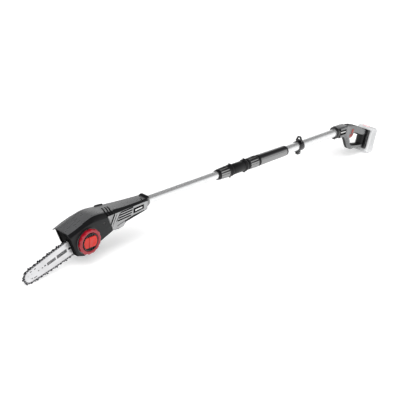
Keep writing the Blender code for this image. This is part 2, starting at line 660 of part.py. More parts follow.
def build_handle():
    """Two hollow halves on the pole's end, with the parts that they hold."""
    cavity = [(745, 13), (771, 8.6), (798, 1), (829, -12), (856, -24),
              on_dock(-17, 31), on_dock(-17, -33), (858, -87), (865, -53), (860, -46),
              (835, -40), (800, -32), (768, -27), (745, -20)]
    for side, name in ((-1, "right"), (1, "left")):
        levels = [(0.0, 0.15), (0.0, 8.0), (1.9, 12.4), (5.5, HANDLE_HALF)]
        rings = [[(x, z, side * w) for x, z in inset(handle_outline(), d)] for d, w in levels]
        shell = loft(f"handle_shell_{name}", DARK_GREY, HANDLE_SIDE, rings)
        spread(shell.data, [(732, NECK_HALF / HANDLE_HALF), (768, 1.0)])
        flare = [(0.0, -1.0), (0.0, 8.5), (4.5, HANDLE_HALF + 0.6)]
        rings = [[(x, z, side * w) for x, z in inset(finger_opening(), -d)] for d, w in flare]
        join(shell, loft(f"finger_gap_{name}", None, HANDLE_SIDE, rings))
        hollow = HANDLE_HALF - SHELL
        join(shell, plate(f"handle_hollow_{name}", None, HANDLE_SIDE, [cavity],
                          -1.0 if side > 0 else -hollow, hollow if side > 0 else 1.0))
        join(shell, rod(f"neck_bore_{name}", None, POLE, OUTER_R + GAP, 680, 738, sides=40))
        join(shell, box(f"trigger_slot_{name}", None, HANDLE, (761.3, -6.5, -45),
                        (808, 6.5, -22)))
    join(shell, plate("lock_off_slot", None, HANDLE_SIDE, [button_outline(0.4)], 8, 22))
    for k in range(2):
        slot = [(694, -5.5 + 9 * k), (728, -6.5 + 9 * k), (730, -1.0 + 9 * k),
                (696, 0.0 + 9 * k)]
        join(shell, plate(f"neck_slot_{k}", None, HANDLE_SIDE, [slot], 17.4, 24))
    top = [(748, 17.2), (772.4, 13.3), (800.5, 4.9), (830.4, -7.2), (857, -19.2)]
    over = top[::-1] + [(x, z + 2.4) for x, z in top]
    bevel(plate("grip_overmould", RUBBER, HANDLE_SIDE, [over], -9, 9), 0.9, 1)

    collar = turned("handle_collar", BLACK, POLE, [
        (16.4, 689.6), (22.0, 689.6), (22.6, 683.5), (23.9, 681), (23.9, 677),
        (22.8, 675.2), (16.4, 675.2)])
    for side in (-1, 1):
        ear = box(f"collar_ear_{'down' if side < 0 else 'up'}", None, POLE,
                  (20 if side > 0 else -26.3, -8, 675.6), (26.3 if side > 0 else -20, 8, 681))
        fuse(collar, bevel(ear, 1.5, 1))

    box("switch_body", BLACK, HANDLE, (777, -6.5, -16), (801, 9, -3))
    rod("trigger_pin", STEEL, TRIGGER_REST, 1.5, -12.4, 12.4, sides=16)
    build_trigger()
    plate("lock_off_button", RED, LOCK_OFF, [button_outline(0.0)], 10.0, 17.6)
    rod("handle_screw", STEEL, HANDLE_SCREW, 3.6, HANDLE_HALF + GAP, HANDLE_HALF + 1.4, sides=20)


def button_outline(extra):
    """Slanted button on the side of the grip."""
    slant = [(774, -19), (784, -19), (788, -4), (778, -4)]
    return inset(slant, -extra) if extra else slant


def build_trigger():
    """Trigger under the grip; it swings up into the handle about a pin at its front."""
    outline = [(762, -15), (762, -23), (768, -32), (777, -39.5), (789, -42), (797, -39),
               (804, -32), (804, -26), (776, -24), (771, -15)]
    px, pz = TRIGGER_AT
    outline = [(x - px, z - pz) for x, z in outline]
    trigger = plate("trigger", RED, TRIGGER, [outline, circle((0, 0), 1.8, 16)], -5.5, 5.5)
    return trigger


def build_battery():
    """Battery that slides down on the dock's tongue, held by a latch button."""
    dock = bevel(box("battery_dock", BLACK, DOCK_FRAME, (-14, -25, -40), (0, 25, 38)), 2.0, 1)
    fuse(dock, box("dock_tongue", None, DOCK_FRAME, (-2, -18, -36), (5.5, 18, 34)))

    corner_z = on_dock(BATTERY_DEPTH, BATTERY_LOW)[1]
    rear_up = (-FLOOR_DROP - corner_z) / math.cos(DOCK_LEAN)
    low_in = (-FLOOR_DROP - corner_z) / math.sin(DOCK_LEAN)
    side = [(0.5, BATTERY_LOW), (0.5, 38.8), (-10.0, 38.8), (-10.0, 46.0), (-6.0, 50.0),
            (30.0, 50.0), (BATTERY_DEPTH, 40.0), (BATTERY_DEPTH, BATTERY_LOW + rear_up),
            (BATTERY_DEPTH - low_in, BATTERY_LOW)]
    rings = [[(x, y, z) for x, z in side] for y in (-BATTERY_HALF, BATTERY_HALF)]
    case = bevel(loft("battery_case", GHOST, BATTERY, rings), 2.0, 2)
    join(case, box("battery_channel", None, BATTERY, (-2, -18.6, -62), (6.2, 18.6, 35)))
    join(case, box("cell_bay", None, BATTERY, (5.8, -29, -44), (36, 29, 36)))
    join(case, box("latch_bay", None, BATTERY, (-7, -15.6, 42.4), (7, 15.6, 60)))
    bevel(box("battery_cells", GREEN, BATTERY, (8, -28, -43), (35, 28, 34)), 4.0, 2)
    button = box("battery_latch", PINK, LATCH, (-6.6, -15.2, 46.0), (6.6, 15.2, 53.0))
    bevel(button, 1.2, 1)


def stand_on_floor(parts, tool):
    """Shift the tool so that the middle of its base is at the origin."""
    bpy.context.view_layer.update()
    graph = bpy.context.evaluated_depsgraph_get()
    points = []
    for obj in parts:
        evaluated = obj.evaluated_get(graph)
        mesh = evaluated.to_mesh()
        points += [evaluated.matrix_world @ vert.co for vert in mesh.vertices]
        evaluated.to_mesh_clear()
    low = [min(p[k] for p in points) for k in range(3)]
    high = [max(p[k] for p in points) for k in range(3)]
    tool.location = (-(low[0] + high[0]) / 2, -(low[1] + high[1]) / 2, -low[2])
    bpy.context.view_layer.update()


# ---------------------------------------------------------------- looks and frames

clear_scene()
PARTS = collection("telescoping_pole_saw")
CUTTERS = collection("cutters")

BLACK = look("black_plastic", (0.025, 0.026, 0.028), 0.42)
CHARCOAL = look("charcoal_plastic", (0.075, 0.078, 0.082), 0.38)
GREY = look("grey_plastic", (0.22, 0.23, 0.24), 0.45)
DARK_GREY = look("handle_plastic", (0.13, 0.135, 0.14), 0.45)
RUBBER = look("soft_grip", (0.03, 0.03, 0.032), 0.8)
RED = look("red_plastic", (0.70, 0.03, 0.03), 0.3)
PALE = look("pale_plastic", (0.62, 0.62, 0.60), 0.5)
GHOST = look("battery_plastic", (0.72, 0.72, 0.73), 0.45)
PINK = look("latch_plastic", (0.85, 0.55, 0.55), 0.45)
GREEN = look("board_and_cells", (0.05, 0.25, 0.12), 0.6)
ALUMINIUM = look("aluminium_tube", (0.78, 0.79, 0.80), 0.25, 1.0)
BRIGHT = look("bar_steel", (0.72, 0.73, 0.74), 0.3, 1.0)
STEEL = look("steel", (0.45, 0.46, 0.47), 0.35, 1.0)
CAST = look("cast_alloy", (0.5, 0.5, 0.5), 0.5, 1.0)

ALONG = (0.0, math.radians(90.0), 0.0)      # the carrier's Z runs along the pole
NEAR = (math.radians(90.0), 0.0, 0.0)       # the carrier's Z points out of the near side
FAR = (math.radians(-90.0), 0.0, 0.0)       # the carrier's Z points out of the far side
# From the pole's axis down to the floor, which the chain's nose touches
FLOOR_DROP = -STUD[1] - NOSE_AT * math.sin(BAR_DIP) + NOSE_R + CHAIN_HEIGHT
OUTPUT_AT = on_bar(SPROCKET_AT)
CENTRES = MODULE * (GEAR_TEETH + PINION_TEETH) / 2
MOTOR_AT = (OUTPUT_AT[0] + CENTRES * math.cos(MOTOR_ANGLE),
            OUTPUT_AT[1] + CENTRES * math.sin(MOTOR_ANGLE))
FLAP_HINGE = (-4.5, 51.3)                   # across the knob, and out from the pole's plane
TRIGGER_AT = (767.0, -19.0)
OIL_AT = (-628.0, 42.0, -26.0)

TOOL = frame("pole_saw", None)
HANDLE = frame("handle_frame", TOOL)
POLE = frame("pole_axis", TOOL, turn=ALONG)
HANDLE_SIDE = frame("handle_side", TOOL, turn=NEAR)
LOCK_TURN = frame("lock_nut_axis", TOOL, turn=ALONG)
GRIP_TURN = frame("grip_nut_axis", TOOL, turn=ALONG)
STRAP = frame("strap_slide", TOOL, place=(455, 0, 0), turn=ALONG)
STRAP_SCREW = frame("strap_screw_axis", STRAP, place=(26.5, 0, 0), turn=FAR)
TRIGGER = frame("trigger_axis", TOOL, place=(TRIGGER_AT[0], 0, TRIGGER_AT[1]), turn=NEAR)
TRIGGER_REST = frame("trigger_pin_axis", TOOL, place=(TRIGGER_AT[0], 0, TRIGGER_AT[1]),
                     turn=NEAR)
LOCK_OFF = frame("lock_off_slide", TOOL, turn=NEAR)
HANDLE_SCREW = frame("handle_screw_axis", TOOL, place=(789, 0, -78.5), turn=NEAR)
DOCK_FRAME = frame("dock_frame", TOOL, place=(DOCK[0], 0, DOCK[1]), turn=(0, DOCK_LEAN, 0))
BATTERY = frame("battery_slide", DOCK_FRAME)
LATCH = frame("latch_slide", BATTERY)

HEAD = frame("head_slide", TOOL)
HEAD_POLE = frame("head_pole_axis", HEAD, turn=ALONG)
HEAD_SIDE = frame("head_side", HEAD, turn=NEAR)
KNOB = frame("knob_axis", HEAD, place=(STUD[0], 0, STUD[1]), turn=NEAR)
KNOB_FACE = frame("knob_face", KNOB)
FLAP = frame("flap_axis", KNOB, place=(FLAP_HINGE[0], 0, FLAP_HINGE[1]), turn=FAR)
FLAP_REST = frame("flap_pin_axis", KNOB, place=(FLAP_HINGE[0], 0, FLAP_HINGE[1]), turn=FAR)
RING = frame("tension_ring_axis", HEAD, place=(STUD[0], 0, STUD[1]), turn=NEAR)
BAR_TURN = frame("bar_dip", HEAD, place=(STUD[0], BAR_Y, STUD[1]), turn=(0, -BAR_DIP, 0))
BAR = frame("bar_slide", BAR_TURN, turn=NEAR)
BAR_REST = frame("bar_rest", BAR_TURN, turn=NEAR)
NOSE = frame("nose_axis", BAR, place=(NOSE_AT, 0, 0))
OUTPUT = frame("output_axis", HEAD, place=(OUTPUT_AT[0], 0, OUTPUT_AT[1]), turn=NEAR)
MOTOR = frame("motor_axis", HEAD, place=(MOTOR_AT[0], 0, MOTOR_AT[1]), turn=NEAR)
OIL_TURN = frame("oil_cap_axis", HEAD, place=OIL_AT, turn=FAR)

build_pole()
build_strap_ring()
build_head_covers()
build_sprocket_cover()
build_bar()
build_chain()
build_bar_mount()
build_knob()
build_drive()
build_oil_and_electronics()
build_handle()
build_battery()
stand_on_floor([obj for obj in PARTS.objects if obj.type == "MESH"], TOOL)
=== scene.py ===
"""Looks of the telescoping pole saw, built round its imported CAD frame.

Design sizes are in millimetres along the pole, as in the CAD: x from the front rim of the
telescope lock towards the handle, y away from the clamp knob, z up. spot() turns them into the
row frame.
"""

import json
from math import asin, atan2, cos, degrees, dist, pi, radians, sin, sqrt, tan, tau

import bmesh
import bpy
from bmesh import ops
from mathutils import Matrix, Vector


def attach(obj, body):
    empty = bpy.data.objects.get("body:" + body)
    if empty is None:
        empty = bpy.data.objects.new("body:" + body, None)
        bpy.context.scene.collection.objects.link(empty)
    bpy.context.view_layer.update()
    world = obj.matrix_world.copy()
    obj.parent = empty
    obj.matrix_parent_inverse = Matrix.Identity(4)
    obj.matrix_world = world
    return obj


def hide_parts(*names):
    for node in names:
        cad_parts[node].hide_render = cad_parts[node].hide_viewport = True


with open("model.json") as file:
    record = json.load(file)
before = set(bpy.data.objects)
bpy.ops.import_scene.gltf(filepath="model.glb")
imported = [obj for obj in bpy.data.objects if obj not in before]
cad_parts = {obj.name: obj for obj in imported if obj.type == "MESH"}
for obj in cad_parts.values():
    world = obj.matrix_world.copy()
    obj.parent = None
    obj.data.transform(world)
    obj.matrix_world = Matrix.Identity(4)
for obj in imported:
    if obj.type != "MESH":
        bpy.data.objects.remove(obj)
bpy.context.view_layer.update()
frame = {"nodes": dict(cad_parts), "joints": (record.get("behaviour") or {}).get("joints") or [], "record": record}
NODES = frame["nodes"]
JOINTS = {joint["name"]: joint for joint in frame["joints"]}
MM = 0.001

ORIGIN = Vector(JOINTS["lock_nut_turn"]["pos_m"])


def spot(x, y, z):
    """A point given in the pole's millimetres, in the row frame."""
    return ORIGIN + Vector((x, y, z)) * MM


def in_pole(point):
    """A point of the row frame, in the pole's millimetres."""
    return (point - ORIGIN) / MM


def pivot(joint):
    """Where a joint is, in the pole's millimetres."""
    return in_pole(Vector(JOINTS[joint]["pos_m"]))


STUD = pivot("clamp_knob_turn")
OUTPUT = pivot("output_spin")
NOSE = pivot("nose_spin")
FLAP = pivot("knob_flap_fold")
NEAR = (0, -1, 0)  # towards the side with the clamp knob
BAR_ALONG = Vector(JOINTS["bar_tension"]["axis"])
BAR_UP = Vector((-BAR_ALONG.z, 0.0, BAR_ALONG.x))
DOCK_UP = Vector(JOINTS["battery_slide"]["axis"])
DOCK_OUT = Vector((DOCK_UP.z, 0.0, -DOCK_UP.x))
DOCK_AT = Vector((886.0, 0.0, -70.0))  # middle of the dock's face, in the pole's millimetres
GRIP_HALF, NECK_HALF = 15.5, 20.0  # half widths of the handle
NECK_END = 732.0  # where the neck starts to narrow
GRIP_TOP = Vector((860, 0, -44)), Vector((0.35, 0.0, 0.94))  # edge line of the rear soft grip
BUTTON = [(774, -19), (784, -19), (788, -4), (778, -4)]
HANDLE_SCREWS = ((789, -82.5), (872, -92), (868, -41))
BAR_MIDDLE = 15.0  # the bar's middle plane, out from the pole's
PANEL_INSET = 1.5  # how far the side panels lie within the roof's band
KEY_ANGLE = pi / 4 + 0.25  # where the key groove runs along the inner tube

# Roof of the head: x, crest height, band height, crest half width, band half width
ROOF = [
    (-680, -1, -12, 28, 43), (-657, 5.5, -3.5, 28, 43.4), (-631, 15, 5.5, 28, 43.5),
    (-604, 25, 13, 28, 43.3), (-583, 30.4, 15.6, 28, 43), (-558, 30.8, 16.4, 28, 42),
    (-528, 27.8, 15.6, 27.8, 40), (-440, 20.8, 14, 25.5, 32), (-345, 18.2, 11, 19.5, 23.5),
]


# ---------- materials

NOISE_SPAN = (0.3, 0.7)  # the part of a noise's range that is spread over a material's


def set_inputs(node, **values):
    """Set a node's inputs by their names."""
    for name, value in values.items():
        node.inputs[name.replace("_", " ")].default_value = value
    return node


class Look:
    """A Principled material with the nodes that vary it."""

    def __init__(self, name, colour, roughness, metallic=0.0):
        self.made = bpy.data.materials.new(name)
        self.made.use_nodes = True
        self.tree = self.made.node_tree
        self.shader = self.tree.nodes["Principled BSDF"]
        self.colour = colour
        set_inputs(self.shader, Base_Color=(*colour, 1.0), Roughness=roughness,
                   Metallic=metallic)

    def node(self, kind, **values):
        return set_inputs(self.tree.nodes.new(kind), **values)

    def wire(self, start, end):
        self.tree.links.new(start, end)

    def noise(self, scale, detail=3.0, stretch=(1.0, 1.0, 1.0), turn=0.0):
        """Noise in the piece's own coordinates, stretched along a turned axis."""
        place = self.node("ShaderNodeTexCoord")
        turned = self.node("ShaderNodeMapping", Rotation=(0.0, turn, 0.0))
        sized = self.node("ShaderNodeMapping", Scale=stretch)
        grain = self.node("ShaderNodeTexNoise", Scale=scale, Detail=detail)
        self.wire(place.outputs["Object"], turned.inputs["Vector"])
        self.wire(turned.outputs["Vector"], sized.inputs["Vector"])
        self.wire(sized.outputs["Vector"], grain.inputs["Vector"])
        return grain.outputs["Fac"]

    def tint(self, value, dark, light):
        """Colour the surface from dark to light by a value; both scale the base colour."""
        ramp = self.node("ShaderNodeValToRGB")
        for stop, at, share in zip(ramp.color_ramp.elements, NOISE_SPAN, (dark, light)):
            stop.position = at
            stop.color = (*(min(1.0, c * share) for c in self.colour), 1.0)
        self.wire(value, ramp.inputs["Fac"])
        self.wire(ramp.outputs["Color"], self.shader.inputs["Base Color"])
        return self

    def rough(self, value, low, high):
        span = self.node("ShaderNodeMapRange", From_Min=NOISE_SPAN[0], From_Max=NOISE_SPAN[1],
                         To_Min=low, To_Max=high)
        self.wire(value, span.inputs["Value"])
        self.wire(span.outputs["Result"], self.shader.inputs["Roughness"])
        return self

    def bump(self, *layers):
        """Stack bumps, each a (value, depth in millimetres)."""
        before = None
        for value, depth in layers:
            made = self.node("ShaderNodeBump", Strength=1.0, Distance=depth * MM)
            self.wire(value, made.inputs["Height"])
            if before is not None:
                self.wire(before, made.inputs["Normal"])
            before = made.outputs["Normal"]
        self.wire(before, self.shader.inputs["Normal"])
        return self


def moulded(name, colour, roughness, grain=1300.0, depth=0.02, sheen=0.06, ior=1.5, coat=0.0):
    """Injection-moulded plastic: fine spark texture, soft flow marks and faint handling marks."""
    look = Look(name, colour, roughness)
    set_inputs(look.shader, IOR=ior, Coat_Weight=coat, Coat_Roughness=0.08)
    flow = look.noise(14.0, 4.0, (0.35, 1.0, 1.0))
    fine = look.noise(grain, 2.0)
    rub = look.noise(160.0, 5.0, (0.15, 1.0, 1.0), 0.6)
    look.tint(flow, 0.86, 1.16)
    look.rough(rub, roughness - sheen, roughness + sheen)
    return look.bump((fine, depth), (rub, depth * 0.5)).made


def brushed(name, colour, low, high, along, turn=0.0, depth=0.006, stain=(0.9, 1.04), metal=1.0):
    """Metal with fine scratches that run along one axis."""
    look = Look(name, colour, low, metal)
    stretch = [1.0, 1.0, 1.0]
    stretch[along] = 0.02
    streak = look.noise(900.0, 4.0, stretch, turn)
    cloud = look.noise(22.0, 4.0)
    look.tint(cloud, *stain)
    look.rough(streak, low, high)
    return look.bump((streak, depth)).made


BAR_TURN = atan2(BAR_ALONG.z, BAR_ALONG.x)
BLACK = moulded("black_moulding", (0.004, 0.004, 0.0045), 0.15, ior=1.6)
GLOSS_BLACK = moulded("polished_moulding", (0.002, 0.002, 0.0025), 0.08, 900.0, 0.004, 0.02, 3.2)
CHARCOAL = moulded("charcoal_moulding", (0.074, 0.075, 0.077), 0.3, depth=0.012, ior=2.25)
COVER = moulded("cover_moulding", (0.011, 0.012, 0.0125), 0.34, ior=1.3)
# Matte near-black: the own black of the nut rims, grip ends and lock body, and painted shade on the head's steep,
# front and downward faces
MATTE_BLACK_AND_SHADE = moulded("matte_black_and_shade", (0.006, 0.006, 0.0065), 0.42, ior=1.35)
GREY = moulded("grey_moulding", (0.29, 0.292, 0.295), 0.36)
HANDLE = moulded("handle_moulding", (0.056, 0.058, 0.061), 0.2, 1500.0, 0.006, ior=2.0, coat=0.2)
# Matte near-black: painted shade in grooves, vent floors, recesses and shaded front faces, and the badge plate's
# own black
SHADE_AND_BADGE_BLACK = moulded("shade_and_badge_black", (0.003, 0.003, 0.003), 0.8, 900.0, 0.02, ior=1.15)
# Soft black rubber of the grip pad and rear grip, also used as painted shade on the handle's guard front and
# underside
SOFT_GRIP_AND_SHADE = moulded("soft_rubber_and_shade", (0.008, 0.008, 0.0085), 0.5, 800.0, 0.06, ior=1.35)
RED = moulded("red_moulding", (0.46, 0.020, 0.013), 0.32, 1500.0, 0.006, 0.04, 1.4, 0.1)
DEEP_RED = moulded("ring_moulding", (0.24, 0.004, 0.012), 0.2, 1500.0, 0.006, 0.04, 1.5, 0.25)
DULL_RED = moulded("button_moulding", (0.26, 0.045, 0.038), 0.4, 1500.0, 0.01)
PALE = moulded("pale_moulding", (0.5, 0.5, 0.49), 0.5)
LABEL = moulded("blank_label", (0.6, 0.6, 0.6), 0.35, 900.0, 0.01)
GHOST = moulded("battery_moulding", (0.52, 0.525, 0.53), 0.45)
PINK = moulded("latch_moulding", (0.72, 0.50, 0.52), 0.45)
GREEN = moulded("board_and_wrap", (0.05, 0.22, 0.11), 0.5)
TUBE = brushed("anodised_tube", (0.78, 0.785, 0.79), 0.16, 0.26, 0, depth=0.0012,
               stain=(0.95, 1.02), metal=0.75)
BRIGHT = brushed("ground_bar", (0.62, 0.62, 0.63), 0.3, 0.42, 0, -BAR_TURN, 0.004,
                 stain=(0.9, 1.06), metal=0.75)
ETCH = moulded("etched_mark", (0.006, 0.006, 0.007), 0.6, 1200.0, 0.004, ior=1.3)
STEEL = brushed("turned_steel", (0.46, 0.465, 0.475), 0.28, 0.42, 2)
LINK = brushed("chain_steel", (0.045, 0.045, 0.05), 0.3, 0.48, 1, stain=(0.5, 1.3))
CUTTER = brushed("cutter_steel", (0.06, 0.06, 0.065), 0.25, 0.4, 1)
CAST = moulded("cast_metal", (0.42, 0.42, 0.43), 0.5, 500.0, 0.05)
set_inputs(CAST.node_tree.nodes["Principled BSDF"], Metallic=1.0)

# The materials of each slot of the record; CAD nodes that stay in view take the first
SLOTS = {
    "black_plastic": (BLACK, GLOSS_BLACK, MATTE_BLACK_AND_SHADE, SHADE_AND_BADGE_BLACK), "charcoal_plastic": (CHARCOAL, COVER),
    "grey_plastic": (GREY,), "handle_plastic": (HANDLE,), "soft_grip": (SOFT_GRIP_AND_SHADE,),
    "red_plastic": (RED, DEEP_RED, DULL_RED), "pale_plastic": (PALE, LABEL),
    "battery_plastic": (GHOST,), "latch_plastic": (PINK,), "board_and_cells": (GREEN,),
    "aluminium_tube": (TUBE,), "bar_steel": (BRIGHT, ETCH), "steel": (STEEL, LINK, CUTTER),
    "cast_alloy": (CAST,),
}


# ---------- mesh tools

def add_object(name, data):
    """New object in the scene's collection."""
    made = bpy.data.objects.new(name, data)
    bpy.context.scene.collection.objects.link(made)
    return made


def piece(name, bm, material, body, *nodes, smooth=38.0):
    """Turn a bmesh in the row frame into a piece that rides a body and stands for CAD nodes."""
    ops.remove_doubles(bm, verts=bm.verts, dist=1e-7)
    ops.recalc_face_normals(bm, faces=bm.faces)
    mesh = bpy.data.meshes.new(name)
    bm.to_mesh(mesh)
    bm.free()
    mesh.materials.append(material)
    mesh.shade_smooth()
    mesh.set_sharp_from_angle(angle=radians(smooth))
    obj = add_object(name, mesh)
    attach(obj, body)
    if nodes:
        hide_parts(*nodes)
    return obj


def paint(obj, material, test):
    """Give another material to the faces whose middle, in pole millimetres, and normal pass."""
    obj.data.materials.append(material)
    for face in obj.data.polygons:
        if test(in_pole(face.center), face.normal):
            face.material_index = len(obj.data.materials) - 1


def split(bm, at, normal):
    """Divide the faces that a plane crosses."""
    ops.bisect_plane(bm, geom=bm.verts[:] + bm.edges[:] + bm.faces[:], plane_co=at,
        plane_no=normal)


def skin(rings, closed=False, bm=None):
    """Join rings of points (in metres, row frame) into a closed surface."""
    bm = bm or bmesh.new()
    made = [[bm.verts.new(p) for p in ring] for ring in rings]
    pairs = list(zip(made, made[1:]))
    if closed:
        pairs.append((made[-1], made[0]))
    count = len(made[0])
    for near, far in pairs:
        for i in range(count):
            j = (i + 1) % count
            bm.faces.new((near[i], near[j], far[j], far[i]))
    if not closed:
        bm.faces.new(made[0][::-1])
        bm.faces.new(made[-1])
    return bm


def turned(profile, at=(0, 0, 0), along=(1, 0, 0), steps=96, shape=None, bm=None):
    """Spin a closed profile of (height, radius) about an axis; shape(angle, index) trims it."""
    along = Vector(along).normalized()
    side = along.orthogonal().normalized()
    other = along.cross(side)
    rings = []
    for i in range(steps):
        angle = tau * i / steps
        ray = side * cos(angle) + other * sin(angle)
        ring = []
        for k, (height, radius) in enumerate(profile):
            r = radius - (shape(angle, k) if shape else 0.0)
            ring.append(spot(*at) + (along * height + ray * r) * MM)
        rings.append(ring)
    return skin(rings, closed=True, bm=bm)


def fillet(points, radius, steps=5):
    """Round the corners of a closed outline."""
    made = []
    for i, point in enumerate(points):
        p = Vector(point)
        a, b = Vector(points[i - 1]) - p, Vector(points[(i + 1) % len(points)]) - p
        r = radius[i] if isinstance(radius, (list, tuple)) else radius
        angle = a.angle(b)
        if r <= 0 or angle > radians(176):
            made.append(tuple(p))
            continue
        reach = min(r / tan(angle / 2), 0.46 * a.length, 0.46 * b.length)
        start, end = p + a.normalized() * reach, p + b.normalized() * reach
        for k in range(steps + 1):
            t = k / steps
            made.append(tuple(start * (1 - t) ** 2 + p * 2 * t * (1 - t) + end * t ** 2))
    return made


def inset(outline, distance):
    """Move an outline inwards; it runs counter-clockwise."""
    moved = []
    for i, (x, y) in enumerate(outline):
        before = Vector((x, y)) - Vector(outline[i - 1])
        after = Vector(outline[(i + 1) % len(outline)]) - Vector((x, y))
        n1 = Vector((-before.y, before.x)).normalized()
        n2 = Vector((-after.y, after.x)).normalized()
        shift = (n1 + n2) * (distance / max(0.35, 1.0 + n1.dot(n2)))
        moved.append((x + shift.x, y + shift.y))
    return moved


def shrunk(outline, radii, distance, steps=5):
    """Move a cornered outline inwards, then round its corners by what is left of their radii."""
    if not isinstance(radii, list):
        radii = [radii] * len(outline)
    area = sum(a[0] * b[1] - b[0] * a[1] for a, b in zip(outline, outline[1:] + outline[:1]))
    if area <= 0:
        outline, radii = outline[::-1], radii[::-1]
    sizes = []
    for i, (x, y) in enumerate(outline):
        ax, ay = outline[i - 1]
        bx, by = outline[(i + 1) % len(outline)]
        convex = (x - ax) * (by - y) - (y - ay) * (bx - x) > 0
        left = radii[i] - distance if convex else radii[i] + distance
        sizes.append(max(left, 0.05) if radii[i] > 0 else 0.0)
    return fillet(inset(outline, distance), sizes, steps)


def near_side(a, b, out):
    """Side view to row frame: a along the pole, b up, out towards the clamp knob's side."""
    return spot(a, -out, b)


def slab(outline, low, high, radii=0.0, top=0.0, foot=0.0, place=near_side, steps=5, bm=None):
    """Thick plate between two heights of a side view, its corners and long edges rounded."""
    turns = [pi / 2 * k / steps for k in range(steps + 1)]
    levels = [(foot * (1 - sin(t)), low + foot * (1 - cos(t)))
              for t in (turns if foot else turns[-1:])]
    levels += [(top * (1 - cos(t)), high - top * (1 - sin(t)))
               for t in (turns if top else turns[:1])]
    rings = [[place(a, b, out) for a, b in shrunk(outline, radii, d)] for d, out in levels]
    return skin(rings, bm=bm)


def rect(x0, y0, x1, y1):
    """Outline of an upright rectangle in a side view."""
    return [(x0, y0), (x1, y0), (x1, y1), (x0, y1)]


def block(corner, opposite, place=spot, bm=None):
    """Box between two corners of a local frame."""
    (x0, y0, z0), (x1, y1, z1) = corner, opposite
    rings = [[place(x, y, z) for x, y in rect(x0, y0, x1, y1)] for z in (z0, z1)]
    return skin(rings, bm=bm)


def groove(start, end, width, low, high, place=near_side):
    """Round-ended bar between two points of a side view, as a cutter or an inlay."""
    a, b = Vector(start), Vector(end)
    along = (b - a).normalized()
    side = Vector((-along.y, along.x)) * width / 2
    outline = []
    for centre, sign in ((b, 1), (a, -1)):
        for k in range(7):
            turn = pi * k / 6
            outline.append(tuple(centre + sign * (-side * cos(turn)
                                                  + along * width / 2 * sin(turn))))
    return slab(outline, low, high, place=place)


def solid(bm):
    """Weld a bmesh and turn its faces outwards."""
    ops.remove_doubles(bm, verts=bm.verts, dist=1e-6)
    ops.dissolve_degenerate(bm, edges=bm.edges, dist=1e-6)
    ops.recalc_face_normals(bm, faces=bm.faces)
    if bm.calc_volume(signed=True) < 0:
        ops.reverse_faces(bm, faces=bm.faces)
    return bm


def carve(bm, cutters, operation="DIFFERENCE"):
    """Boolean of one bmesh with others, worked in millimetres."""
    made = []
    for part in [bm] + cutters:
        solid(part)
        ops.scale(part, vec=(1000.0, 1000.0, 1000.0), verts=part.verts)
        mesh = bpy.data.meshes.new("carved")
        part.to_mesh(mesh)
        part.free()
        made.append(add_object("carved", mesh))
    for tool in made[1:]:
        step = made[0].modifiers.new("cut", "BOOLEAN")
        step.solver = "EXACT"
        step.operation = operation
        step.object = tool
    bpy.context.view_layer.update()
    result = bmesh.new()
    result.from_object(made[0], bpy.context.evaluated_depsgraph_get())
    ops.scale(result, vec=(MM, MM, MM), verts=result.verts)
    for obj in made:
        bpy.data.objects.remove(obj, do_unlink=True)
    return result


def soften(bm, width, segments=2, angle=30.0):
    """Bevel the edges that are sharper than an angle."""
    ops.remove_doubles(bm, verts=bm.verts, dist=1e-7)
    ops.dissolve_limit(bm, angle_limit=radians(0.5), verts=bm.verts, edges=bm.edges)
    edges = [edge for edge in bm.edges if len(edge.link_faces) == 2
             and edge.calc_face_angle(0.0) >= radians(angle)]
    ops.bevel(bm, geom=edges, offset=width * MM, offset_type="OFFSET", segments=segments,
        profile=0.5, affect="EDGES", clamp_overlap=True)
    return bm


def from_cad(node):
    """A copy of a CAD node's mesh, welded."""
    bm = bmesh.new()
    bm.from_mesh(NODES[node].data)
    ops.remove_doubles(bm, verts=bm.verts, dist=1e-6)
    return bm


def softened_cad(node, width, material, body, segments=2, angle=30.0):
    """A CAD node with its edges rounded."""
    bm = soften(from_cad(node), width, segments, angle)
    return piece(node + "_rounded", bm, material, body, node)


# ---------- pole

def build_pole():
    """The two drawn tubes."""
    tube = [(-425, 12.5), (-425, 13.6), (-424.6, 14), (384.6, 14), (385, 13.6), (385, 12.5)]

    def key_groove(angle, index):
        """Shallow key groove that keeps the tubes from turning in each other."""
        away = abs((angle - KEY_ANGLE + pi) % tau - pi)
        return 0.9 * max(0, 1 - (away / 0.13) ** 2) if index in (1, 2, 3, 4) else 0

    bm = turned(tube, steps=144, shape=key_groove)
    piece("inner_tube_drawn", bm, TUBE, "head", "inner_tube")
    outer = [(86, 14.6), (86, 15.6), (86.4, 16), (734.6, 16), (735, 15.6), (735, 14.6)]
    piece("outer_tube_drawn", turned(outer, steps=120), TUBE, "handle", "outer_tube")


def ribs(count, depths):
    """Longitudinal ribs whose depth is given for each profile point."""
    def shape(angle, index):
        wave = 0.5 - 0.5 * cos(count * angle)
        return depths[index] * wave ** 0.55
    return shape


def ribbed_nut(profile):
    """Nut on the pole with 16 ribs, from a profile of (height, radius, rib depth)."""
    return turned([p[:2] for p in profile], steps=192, shape=ribs(16, [p[2] for p in profile]))


